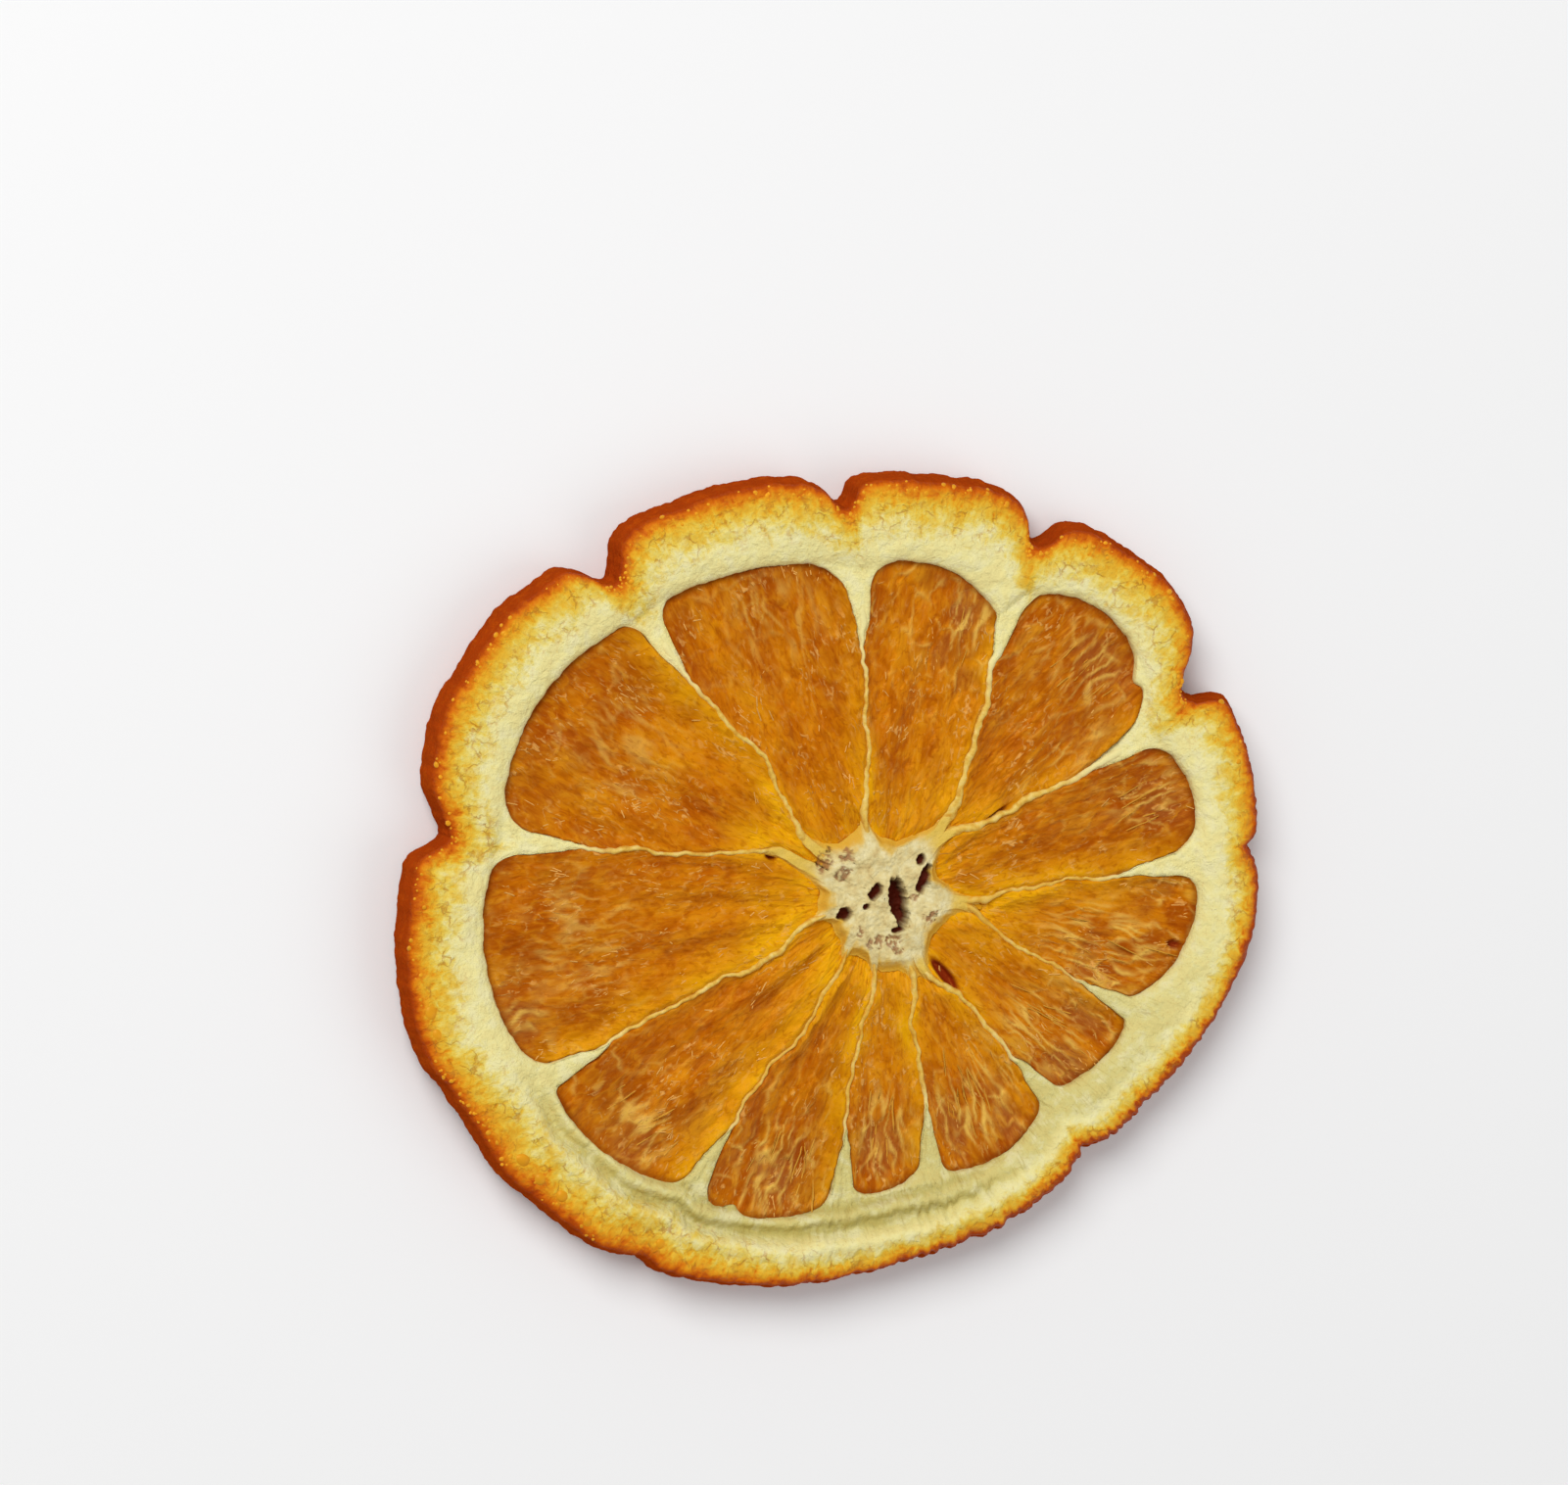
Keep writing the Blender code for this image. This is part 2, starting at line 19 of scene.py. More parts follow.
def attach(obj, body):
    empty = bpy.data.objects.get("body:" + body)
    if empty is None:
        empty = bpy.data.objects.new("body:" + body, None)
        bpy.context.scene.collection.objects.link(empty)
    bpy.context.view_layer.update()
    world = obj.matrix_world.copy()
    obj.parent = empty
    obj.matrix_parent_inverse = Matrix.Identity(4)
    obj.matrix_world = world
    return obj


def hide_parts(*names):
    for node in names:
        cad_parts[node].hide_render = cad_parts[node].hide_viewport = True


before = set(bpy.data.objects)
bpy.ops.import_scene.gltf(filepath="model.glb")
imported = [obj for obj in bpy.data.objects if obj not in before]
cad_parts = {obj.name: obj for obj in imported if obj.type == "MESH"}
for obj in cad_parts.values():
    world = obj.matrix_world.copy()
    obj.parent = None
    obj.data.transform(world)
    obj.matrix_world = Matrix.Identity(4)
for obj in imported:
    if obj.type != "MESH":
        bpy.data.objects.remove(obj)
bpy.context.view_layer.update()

LOG = logging.getLogger("slice")
MM = 0.001
NODE = "orange_slice"
BODY = "root"

# Short names of types: values at a set of points, a number or such values, a node's socket, a finish
Grid = np.ndarray
Amount = float | Grid
Socket = bpy.types.NodeSocket
Material = bpy.types.Material

# Place of the core, which lies off the middle of the slice
CORE_X = 3.53
CORE_Y = -1.465

# Rind: bearing and radius of its top edge, and how far the foot of the peel stands out, most on the right
RIM = (
    (0.0, 30.8), (4.0, 30.6), (7.0, 30.1), (9.0, 30.9), (15.0, 31.5), (22.0, 31.8), (28.5, 31.8),
    (29.8, 30.9), (30.8, 29.7), (33.0, 29.1), (35.0, 29.8), (36.5, 30.7), (38.0, 31.8), (40.0, 32.8),
    (43.0, 33.4), (47.0, 33.8), (53.0, 33.6), (59.0, 33.4), (61.5, 33.0), (63.0, 32.2), (64.5, 30.9),
    (66.3, 30.4), (67.7, 30.9), (69.0, 32.2), (71.0, 33.0), (75.0, 33.4), (80.0, 33.2), (91.0, 33.0),
    (93.6, 32.6), (94.6, 31.5), (96.0, 31.0), (97.5, 31.6), (99.3, 32.7), (102.0, 33.5), (110.0, 34.5),
    (118.0, 35.1), (124.0, 35.7), (126.5, 35.3), (128.5, 34.1), (130.5, 33.3), (132.3, 33.9),
    (133.4, 35.4), (135.0, 36.6), (138.0, 37.1), (143.0, 37.9), (150.0, 38.1), (156.5, 38.4),
    (162.0, 37.9), (165.0, 37.4), (168.0, 36.1), (170.8, 35.3), (172.3, 35.9), (174.0, 37.4),
    (177.0, 38.0), (185.0, 38.5), (191.0, 38.7), (197.0, 38.5), (202.0, 37.5), (208.0, 37.0),
    (214.0, 36.9), (220.0, 36.1), (228.0, 35.3), (231.0, 34.8), (234.3, 33.8), (237.5, 33.9),
    (241.0, 33.5), (245.0, 32.8), (250.0, 32.1), (255.0, 31.3), (260.0, 30.5), (265.0, 29.8),
    (270.0, 29.2), (276.0, 28.5), (283.0, 28.1), (290.0, 27.9), (297.0, 27.5), (304.0, 27.0),
    (307.5, 26.3), (309.5, 26.0), (312.0, 26.6), (316.0, 27.1), (322.0, 27.3), (330.0, 28.1),
    (340.0, 29.1), (350.0, 30.3),
)
RIM_OVERLAP = 2
PEEL_FLARE = 0.5
PEEL_FLARE_LEAN = 0.3
PEEL_BULGE = 0.2
RIND_HEIGHT = 4.85
LIP_HEIGHT = 4.15
SAG_BEARING = 268.0
SAG_REACH = 62.0
SAG_DEPTH = 0.7
RAGGED_BEARING = 302.0
NARROW_BAND_BEARING = 310.0
BROAD_BAND_BEARING = 226.0
RUST_BEARING = 320.0
# Middle of the grey-green shade painted on the lower side of the pith
PAINTED_SHADE_BEARING = 280.0
CREASE_START = 200.0
CREASE_END = 306.0
PUCKER_HALF_WIDTH = 3.1
PUCKER_DIP = 0.12

# Pulp, membranes and core
PULP_TOP = 3.4
PULP_BOTTOM = 1.35
MEMBRANE_TOP = 3.85
MEMBRANE_BOTTOM = 0.75
MEMBRANE_HALF_WIDTH = 0.38
MEMBRANE_SPUR_HALF_WIDTH = 0.85
MEMBRANE_SPUR_LENGTH = 5.0
MEMBRANE_POINT = 1.1
WANDER_SWAY = 0.34
WANDER_KINK = 0.13
WALL_HALF_WIDTH = 0.25
SPUR_WEDGE = 3.6
SPUR_CURVE = 1.2
SPUR_END_HALF_WIDTH = 0.5
MIDDLE_RADIUS = 15.0
LEAST_ROOM = 0.1
CORE_TOP = 3.95
CORE_BOTTOM = 0.6
WEB_TOP = 3.65
CORE_EDGE_TOP = 3.2
CORE_RADIUS = 4.0

# Lift of the dried slice off the surface on two opposite sides
LIFT = 0.75
LIFT_BEARING = 22.0
LIFT_START = 0.15
LIFT_RADIUS = 34.0

# Radii at which a membrane's bearing is given, from the core to the rim
DRIFT_RADII = (6.0, 10.0, 15.0, 22.0, 29.0)
EVEN_RADIUS = 2.8
EVEN_START = 12.0
CORE_CORNER = 0.4


@dataclass(frozen=True)
class Membrane:
    """A wall between two segments: bearings at the drift radii, its ends, and how clearly it shows."""

    bearings: tuple
    core_reach: float
    spur_tip: float
    pucker: float = 0.0
    show: float = 1.0
    broad: float = 1.0


@dataclass(frozen=True)
class Segment:
    """Pulp after one membrane: inner radius, outer arch with two rounded corners, and its side painted as
    lit.
    """

    core_radius: float
    crown_start: float
    crown_end: float
    bulge: float
    corner_start: float
    corner_end: float
    glow: float = 0.6
    glow_width: float = 2.0
    inner_glow: float = 0.3
    vein: float = 0.5
    web: float = 0.6
    dusk: float = 0.0


MEMBRANES = (
    Membrane((-2.0, 2.5, 4.0, 5.0, 6.5), 9.0, 22.5, 0.6, 0.75),
    Membrane((46.0, 36.5, 32.5, 30.4, 33.0), 10.0, 22.0, 2.7, 1.0, 1.2),
    Membrane((51.0, 53.5, 60.0, 64.7, 66.5), 10.5, 23.0, 2.9, 1.0, 1.5),
    Membrane((104.0, 97.3, 96.0, 94.5, 96.3), 7.5, 22.7, 2.3),
    Membrane((144.0, 138.5, 131.5, 132.4, 130.5), 10.5, 26.5, 3.0),
    Membrane((156.0, 156.5, 165.0, 168.5, 170.0), 12.3, 27.5, 2.6),
    Membrane((195.0, 205.5, 204.3, 205.3, 206.0), 6.5, 28.0),
    Membrane((236.0, 238.0, 235.5, 234.8, 236.0), 6.3, 25.0, 0.8, 0.6),
    Membrane((263.0, 260.5, 260.0, 261.8, 262.0), 6.6, 21.8, 0.0, 0.65),
    Membrane((292.0, 283.5, 282.7, 280.5, 281.0), 8.0, 20.2, 0.0, 0.8),
    Membrane((300.0, 309.0, 309.5, 310.5, 310.0), 9.0, 19.5, 0.8),
    Membrane((355.0, 343.0, 338.0, 335.5, 335.0), 9.0, 20.8, 0.0, 0.5),
)

SEGMENTS = (
    Segment(4.9, 25.6, 25.2, 1.1, 0.25, 0.25, 0.9, 1.5, 0.35, 0.7, 0.6, 0.5),
    Segment(7.8, 25.6, 26.4, 2.7, 0.15, 0.12, 0.5, 1.8, 0.25, 0.5, 0.6, 0.4),
    Segment(4.7, 24.2, 26.0, 1.5, 0.1, 0.2, 0.6, 1.8, 0.45, 0.7),
    Segment(5.7, 26.6, 29.8, 0.1, 0.2, 0.12, 0.5, 1.6, 0.3, 0.3),
    Segment(6.4, 29.8, 31.2, 1.5, 0.06, 0.15, 0.7, 2.2, 1.5, 0.35, 1.0),
    Segment(5.2, 31.3, 30.7, 1.3, 0.12, 0.15, 0.95, 2.0, 0.8, 0.4, 0.6, 0.15),
    Segment(4.6, 30.2, 27.3, 0.9, 0.07, 0.1, 1.0, 2.2, 0.4, 0.5, 0.6, 0.12),
    Segment(5.0, 27.4, 24.4, 1.0, 0.12, 0.1, 1.0, 1.6, 0.45, 0.8, 0.6, 0.4),
    Segment(5.8, 23.3, 21.7, 0.8, 0.15, 0.12, 0.8, 1.4, 0.4, 0.7, 0.6, 0.1),
    Segment(6.9, 22.5, 21.3, 1.0, 0.12, 0.12, 0.5, 1.4, 0.25, 0.7),
    Segment(5.2, 21.2, 22.8, 0.3, 0.12, 0.15, 0.5, 1.6, 0.4, 0.9),
    Segment(8.2, 22.0, 25.6, 1.5, 0.08, 0.15, 0.55, 1.8, 0.5, 0.8, 1.0),
)
GLOW_BY_START = 5


@dataclass(frozen=True)
class Spot:
    """A soft oval place on the plan: bearing, radius, half sizes, and its strength."""

    bearing: float
    radius: float
    half_across: float
    half_along: float
    strength: float

    def cover(self, bearing: Grid, radius: Grid) -> Grid:
        """Share of the spot at each point.

        Args:
            bearing: bearings, in degrees.
            radius: radii, in millimetres.
        Returns:
            Share of the spot at each point.
        """
        across = np.radians(bearing_gap(bearing, self.bearing)) * radius / self.half_across
        along = (radius - self.radius) / self.half_along
        return self.strength * smooth(1.6 - np.hypot(across, along))


# Small holes in the pulp, sunk and painted dark as shade
HOLLOWS = (
    Spot(309.6, 8.0, 0.36, 1.4, 0.9),
    Spot(35.4, 11.2, 0.2, 1.2, 0.5),
    Spot(157.5, 9.8, 0.4, 0.45, 0.8),
    Spot(350.0, 24.5, 0.32, 0.5, 0.6),
)
WINDOWS = (
    Spot(318.0, 20.4, 1.3, 1.6, 1.0),
    Spot(330.0, 19.0, 0.9, 1.3, 0.7),
    Spot(344.0, 17.6, 1.5, 0.8, 0.6),
    Spot(300.0, 20.8, 1.0, 1.6, 0.8),
    Spot(288.0, 19.4, 0.9, 2.2, 0.8),
    Spot(270.0, 19.8, 1.6, 1.8, 0.8),
    Spot(248.0, 23.6, 1.6, 1.8, 0.8),
    Spot(223.0, 27.6, 2.0, 1.6, 0.6),
    Spot(72.0, 24.0, 1.6, 2.0, 0.6),
    Spot(46.0, 25.8, 2.4, 1.6, 0.5),
    Spot(18.0, 24.2, 1.8, 1.8, 0.6),
    Spot(197.0, 30.6, 1.4, 1.6, 0.7),
)
FANS = (
    Spot(21.0, 22.8, 2.2, 2.6, 1.0), Spot(46.0, 24.5, 2.6, 2.6, 0.9), Spot(72.0, 23.6, 1.4, 2.6, 1.0),
    Spot(196.0, 30.2, 1.6, 1.5, 1.0), Spot(222.0, 26.6, 2.4, 2.2, 1.0), Spot(248.0, 22.5, 2.6, 3.4, 0.9),
    Spot(271.0, 18.6, 2.0, 3.0, 0.9), Spot(292.0, 18.4, 2.2, 3.2, 1.0), Spot(304.0, 16.5, 1.4, 3.0, 0.7),
    Spot(320.0, 17.2, 2.4, 3.4, 1.0), Spot(346.0, 18.5, 3.2, 4.2, 1.0), Spot(150.0, 24.0, 4.0, 3.4, 0.5),
    Spot(112.0, 24.0, 3.4, 3.0, 0.5), Spot(186.0, 25.0, 4.0, 4.0, 0.5), Spot(36.0, 18.0, 1.2, 4.0, 0.6),
)
LIP_DIPS = (Spot(40.5, 25.0, 0.8, 1.0, 0.9), Spot(243.5, 25.0, 0.7, 1.0, 0.6))
CREASE_BEARINGS = (215.0, 221.0, 232.0, 247.0, 262.0, 278.0, 295.0, 312.0)
CREASE_INSETS = (5.5, 5.2, 4.8, 4.2, 3.9, 3.2, 3.0, 3.0)


def lerp(start: Amount, end: Amount, share: Amount) -> Amount:
    """Value a share of the way between two others."""
    return start + (end - start) * share


def smooth(share: Amount) -> Amount:
    """Ease from 0 to 1, held outside."""
    held = np.clip(share, 0.0, 1.0)
    return held * held * (3.0 - 2.0 * held)


def corner(share: Amount) -> Amount:
    """Round fillet that falls from 1 at the start to 0 where the share reaches 1."""
    return 1.0 - np.sqrt(np.clip(1.0 - (1.0 - np.clip(share, 0.0, 1.0)) ** 2, 0.0, 1.0))


def bell(distance: Amount, width: Amount) -> Amount:
    """Soft hump of height 1 round nought."""
    return np.exp(-(distance / width) ** 2)


def bearing_gap(bearing: Amount, other: Amount) -> Amount:
    """Signed difference of two bearings, between -180 and 180."""
    return (bearing - other + 180.0) % 360.0 - 180.0


def spline(stations: tuple, values: tuple, place: Amount) -> Grid:
    """Smooth curve through values at rising stations, held flat outside them.

    Args:
        stations: rising stations.
        values: value at each.
        place: where to read the curve.
    Returns:
        Values on the curve.
    """
    at = np.asarray(stations, float)
    heights = np.asarray(values, float)
    last = len(at) - 1
    low = np.maximum(np.arange(last + 1) - 1, 0)
    high = np.minimum(np.arange(last + 1) + 1, last)
    slopes = (heights[high] - heights[low]) / (at[high] - at[low])
    held = np.clip(place, at[0], at[-1])
    index = np.clip(np.searchsorted(at, held, side="right") - 1, 0, last - 1)
    span = at[index + 1] - at[index]
    share = (held - at[index]) / span
    square = share * share
    cube = square * share
    weight = 2.0 * cube - 3.0 * square + 1.0
    return (weight * heights[index] + (1.0 - weight) * heights[index + 1]
            + (cube - 2.0 * square + share) * span * slopes[index]
            + (cube - square) * span * slopes[index + 1])


def arch(start: float, end: float, bulge: float, share: Amount) -> Amount:
    """Radius on an arch between two ends, a share of the way along it."""
    return lerp(start, end, share) + bulge * 4.0 * share * (1.0 - share)


def spur_edge(tip: float, share: Grid) -> Grid:
    """Radius of the rind's edge beside a spur, by the share of the spur's half width."""
    return lerp(tip - SPUR_WEDGE, tip + MEMBRANE_POINT, np.clip(share, 0.0, 1.0) ** SPUR_CURVE)


def covered(spots: tuple, at: "PulpPoints") -> Grid:
    """Share of some spots, summed, at each point."""
    return sum(spot.cover(at.bearing, at.radius) for spot in spots)


class Lattice:
    """Seeded noise on a square lattice: smooth, layered, ridged, or split into cells."""

    SIZE = 256
    FAR = 9.0

    def __init__(self, seed: int) -> None:
        """Draw the lattice.

        Args:
            seed: seed of the draws.
        """
        draw = np.random.default_rng(seed)
        turn = draw.uniform(0.0, math.tau, (self.SIZE, self.SIZE))
        self.slope_x = np.cos(turn)
        self.slope_y = np.sin(turn)
        self.spot_x = draw.uniform(0.1, 0.9, (self.SIZE, self.SIZE))
        self.spot_y = draw.uniform(0.1, 0.9, (self.SIZE, self.SIZE))
        self.tone = draw.uniform(0.0, 1.0, (self.SIZE, self.SIZE))

    def soft(self, x: Grid, y: Grid) -> Grid:
        """Smooth noise, mostly between -1 and 1, that changes about once a unit.

        Args:
            x: places along X.
            y: places along Y.
        Returns:
            Values of the noise.
        """
        x, y = np.broadcast_arrays(np.asarray(x, float), np.asarray(y, float))
        left, low = np.floor(x).astype(int), np.floor(y).astype(int)
        in_x, in_y = x - left, y - low
        ease_x = in_x ** 3 * (in_x * (in_x * 6.0 - 15.0) + 10.0)
        ease_y = in_y ** 3 * (in_y * (in_y * 6.0 - 15.0) + 10.0)
        sums = []
        for step_y in (0, 1):
            pair = []
            for step_x in (0, 1):
                place = ((left + step_x) % self.SIZE, (low + step_y) % self.SIZE)
                pair.append(self.slope_x[place] * (in_x - step_x) + self.slope_y[place] * (in_y - step_y))
            sums.append(lerp(pair[0], pair[1], ease_x))
        return 1.5 * lerp(sums[0], sums[1], ease_y)

    def layered(self, x: Grid, y: Grid, layers: int = 3) -> Grid:
        """Sum of ever finer and fainter smooth noise.

        Args:
            x: places along X.
            y: places along Y.
            layers: number of layers.
        Returns:
            Values of the noise.
        """
        total = 0.0
        for layer in range(layers):
            grow = 2.0 ** layer
            total = total + self.soft(x * grow + 17.3 * layer, y * grow - 9.1 * layer) / grow
        return total

    def ridged(self, x: Grid, y: Grid, layers: int = 2) -> Grid:
        """Thin crests between 0 and 1 along the noughts of smooth noise.

        Args:
            x: places along X.
            y: places along Y.
            layers: number of layers.
        Returns:
            Values of the noise.
        """
        total = 0.0
        for layer in range(layers):
            grow = 2.0 ** layer
            total = total + (1.0 - np.abs(self.soft(x * grow + 5.7 * layer, y * grow))) ** 4 / grow
        return total / (2.0 - 0.5 ** (layers - 1))

    def cells(self, x: Grid, y: Grid) -> tuple:
        """Distances to the nearest and the next cell's middle, and a tone that each cell keeps.

        Args:
            x: places along X.
            y: places along Y.
        Returns:
            Both distances and the tone.
        """
        left, low = np.floor(x).astype(int), np.floor(y).astype(int)
        first = np.full(np.shape(x), self.FAR)
        second = np.full(np.shape(x), self.FAR)
        tone = np.zeros(np.shape(x))
        for step_x in (-1, 0, 1):
            for step_y in (-1, 0, 1):
                place = ((left + step_x) % self.SIZE, (low + step_y) % self.SIZE)
                gap = np.hypot(left + step_x + self.spot_x[place] - x, low + step_y + self.spot_y[place] - y)
                nearer = gap < first
                second = np.where(nearer, first, np.minimum(second, gap))
                tone = np.where(nearer, self.tone[place], tone)
                first = np.minimum(first, gap)
        return first, second, tone


class Ripple:
    """Smooth uneven height between -1 and 1, summed from sine waves in seeded directions."""

    WAVES = 6
    STRETCH = (0.7, 1.4)

    def __init__(self, seed: int, length_x: float, length_y: float) -> None:
        """Draw the waves.

        Args:
            seed: seed of the draws.
            length_x: usual wavelength along X.
            length_y: and along Y.
        """
        draw = random.Random(seed)
        self.waves = []
        for _ in range(self.WAVES):
            turn = draw.uniform(0.0, math.tau)
            stretch = draw.uniform(*self.STRETCH)
            wave_x = math.tau * math.cos(turn) / (length_x * stretch)
            wave_y = math.tau * math.sin(turn) / (length_y * stretch)
            self.waves.append((wave_x, wave_y, draw.uniform(0.0, math.tau)))

    def at(self, x: Grid, y: Grid) -> Grid:
        """Height at each point."""
        total = sum(np.sin(wave_x * x + wave_y * y + start) for wave_x, wave_y, start in self.waves)
        return total / math.sqrt(2.0 * self.WAVES)


RIND_RIPPLE = Ripple(11, 9.0, 9.0)
PULP_RIPPLE = Ripple(23, 4.2, 9.0)
CORE_RIPPLE = Ripple(37, 3.0, 3.0)
RIND_RELIEF = 0.13
PULP_RELIEF = 0.3
CORE_RELIEF = 0.2


class SlicePlan:
    """Outline of the slice seen from above, shared by every piece."""

    def __init__(self) -> None:
        """Draw the membranes' wander."""
        self.count = len(MEMBRANES)
        self.wander = Lattice(5)

    def membrane_bearing(self, index: int, radius: Grid) -> Grid:
        """Bearing of a membrane at each radius, a full turn more past the last one.

        Args:
            index: number of the membrane.
            radius: radii, in millimetres.
        Returns:
            Bearings of the membrane.
        """
        turns, number = divmod(index, self.count)
        even = EVEN_START + 360.0 * number / self.count
        bearing = spline((EVEN_RADIUS,) + DRIFT_RADII, (even,) + MEMBRANES[number].bearings, radius)
        return bearing + self.wiggle(number, radius) + 360.0 * turns

    def wall_bearings(self, index: int, radius: Grid) -> tuple:
        """Bearings of a segment's first and second membrane at each radius."""
        return self.membrane_bearing(index, radius), self.membrane_bearing(index + 1, radius)

    def wiggle(self, number: int, radius: Grid) -> Grid:
        """Degrees by which a membrane wanders from its smooth line.

        Args:
            number: number of the membrane.
            radius: radii, in millimetres.
        Returns:
            Degrees off the smooth line.
        """
        spur = MEMBRANES[number].spur_tip
        envelope = smooth((radius - 6.0) / 3.0) * smooth((spur + 1.0 - radius) / 4.0)
        sway = WANDER_SWAY * self.wander.soft(radius / 2.7, 7.3 * number + 0.4)
        kink = WANDER_KINK * self.wander.soft(radius / 0.8, 3.1 * number + 50.6)
        return np.degrees((sway + kink) * envelope / np.maximum(radius, 1.0))

    def half_width(self, index: int, radius: Grid) -> Grid:
        """Half the width left for a membrane, which grows into the spur of pith at its outer end.

        Args:
            index: number of the membrane.
            radius: radii, in millimetres.
        Returns:
            Half widths.
        """
        spur = MEMBRANES[index % self.count].spur_tip
        share = smooth((radius - spur + MEMBRANE_SPUR_LENGTH) / MEMBRANE_SPUR_LENGTH)
        return lerp(MEMBRANE_HALF_WIDTH, MEMBRANE_SPUR_HALF_WIDTH, share)

    def wall_half_width(self, index: int, radius: Grid) -> Grid:
        """Half the thickness of a membrane, which widens where it meets the rind.

        Args:
            index: number of the membrane.
            radius: radii, in millimetres.
        Returns:
            Half thicknesses.
        """
        membrane = MEMBRANES[index % self.count]
        thin = WALL_HALF_WIDTH * membrane.broad * lerp(0.75, 1.0, membrane.show)
        return lerp(thin, SPUR_END_HALF_WIDTH, smooth((radius - membrane.spur_tip + 3.4) / 4.0))

    def membrane_height(self, index: int, radius: Grid) -> Grid:
        """Height of a membrane's top before its fine relief.

        Args:
            index: number of the membrane.
            radius: radii, in millimetres.
        Returns:
            Heights.
        """
        membrane = MEMBRANES[index % self.count]
        height = MEMBRANE_TOP - 0.22 * (1.0 - membrane.show)
        height = lerp(height, MEMBRANE_TOP + 0.05, smooth((radius - membrane.spur_tip + 4.6) / 5.6))
        height = height - 0.35 * smooth((membrane.core_reach - 1.2 - radius) / 2.0)
        height = height - 0.14 * smooth((radius - membrane.spur_tip + 3.4) / 1.0)
        height = height - 0.4 * smooth((radius - membrane.spur_tip) / 2.0)
        return height - self.bed_sag(self.membrane_bearing(index, radius), radius)

    def bed_sag(self, bearing: Grid, radius: Grid) -> Grid:
        """Drop of the pulp and membranes on the lower side, as much as the rind's at the arches."""
        return self.sag(bearing, 0.0) * smooth((radius - 5.0) / 15.0)

    @staticmethod
    def rim_radius(bearing: Grid) -> Grid:
        """Radius of the rind's top edge, with its puckers.

        Args:
            bearing: bearings, in degrees.
        Returns:
            Radii of the rim.
        """
        before = tuple((station - 360.0, radius) for station, radius in RIM[-RIM_OVERLAP:])
        after = tuple((station + 360.0, radius) for station, radius in RIM[:RIM_OVERLAP])
        stations, radii = zip(*(before + RIM + after))
        return spline(stations, radii, bearing % 360.0)

    @staticmethod
    def pucker_dip(bearing: Grid, radius: Grid) -> Grid:
        """Drop of the rind's top in line with a pucker.

        Args:
            bearing: bearings, in degrees.
            radius: radii, in millimetres.
        Returns:
            Millimetres of drop.
        """
        dip = np.zeros(np.shape(bearing))
        for membrane in MEMBRANES:
            arc = np.radians(bearing_gap(bearing, membrane.bearings[-1])) * radius
            dip += membrane.pucker * PUCKER_DIP * bell(arc, PUCKER_HALF_WIDTH)
        return dip

    @staticmethod
    def sag(bearing: Grid, share: Grid) -> Grid:
        """Drop of the rind's inner half on the lower side."""
        gap = np.abs(bearing_gap(bearing, SAG_BEARING))
        return SAG_DEPTH * smooth(1.0 - gap / SAG_REACH) * smooth(1.0 - share / 0.6)

    @staticmethod
    def place(bearing: Grid, radius: Grid) -> tuple:
        """Points of the plan in the slice's own frame."""
        turn = np.radians(bearing)
        return CORE_X + radius * np.cos(turn), CORE_Y + radius * np.sin(turn)

    @staticmethod
    def lift(x: Grid, y: Grid) -> Grid:
        """Height of the underside above the surface, nought on the two sides that touch it."""
        share = np.cos(2.0 * (np.arctan2(y, x) - math.radians(LIFT_BEARING))) - LIFT_START
        return LIFT * np.maximum(share, 0.0) * (np.hypot(x, y) / LIFT_RADIUS) ** 2


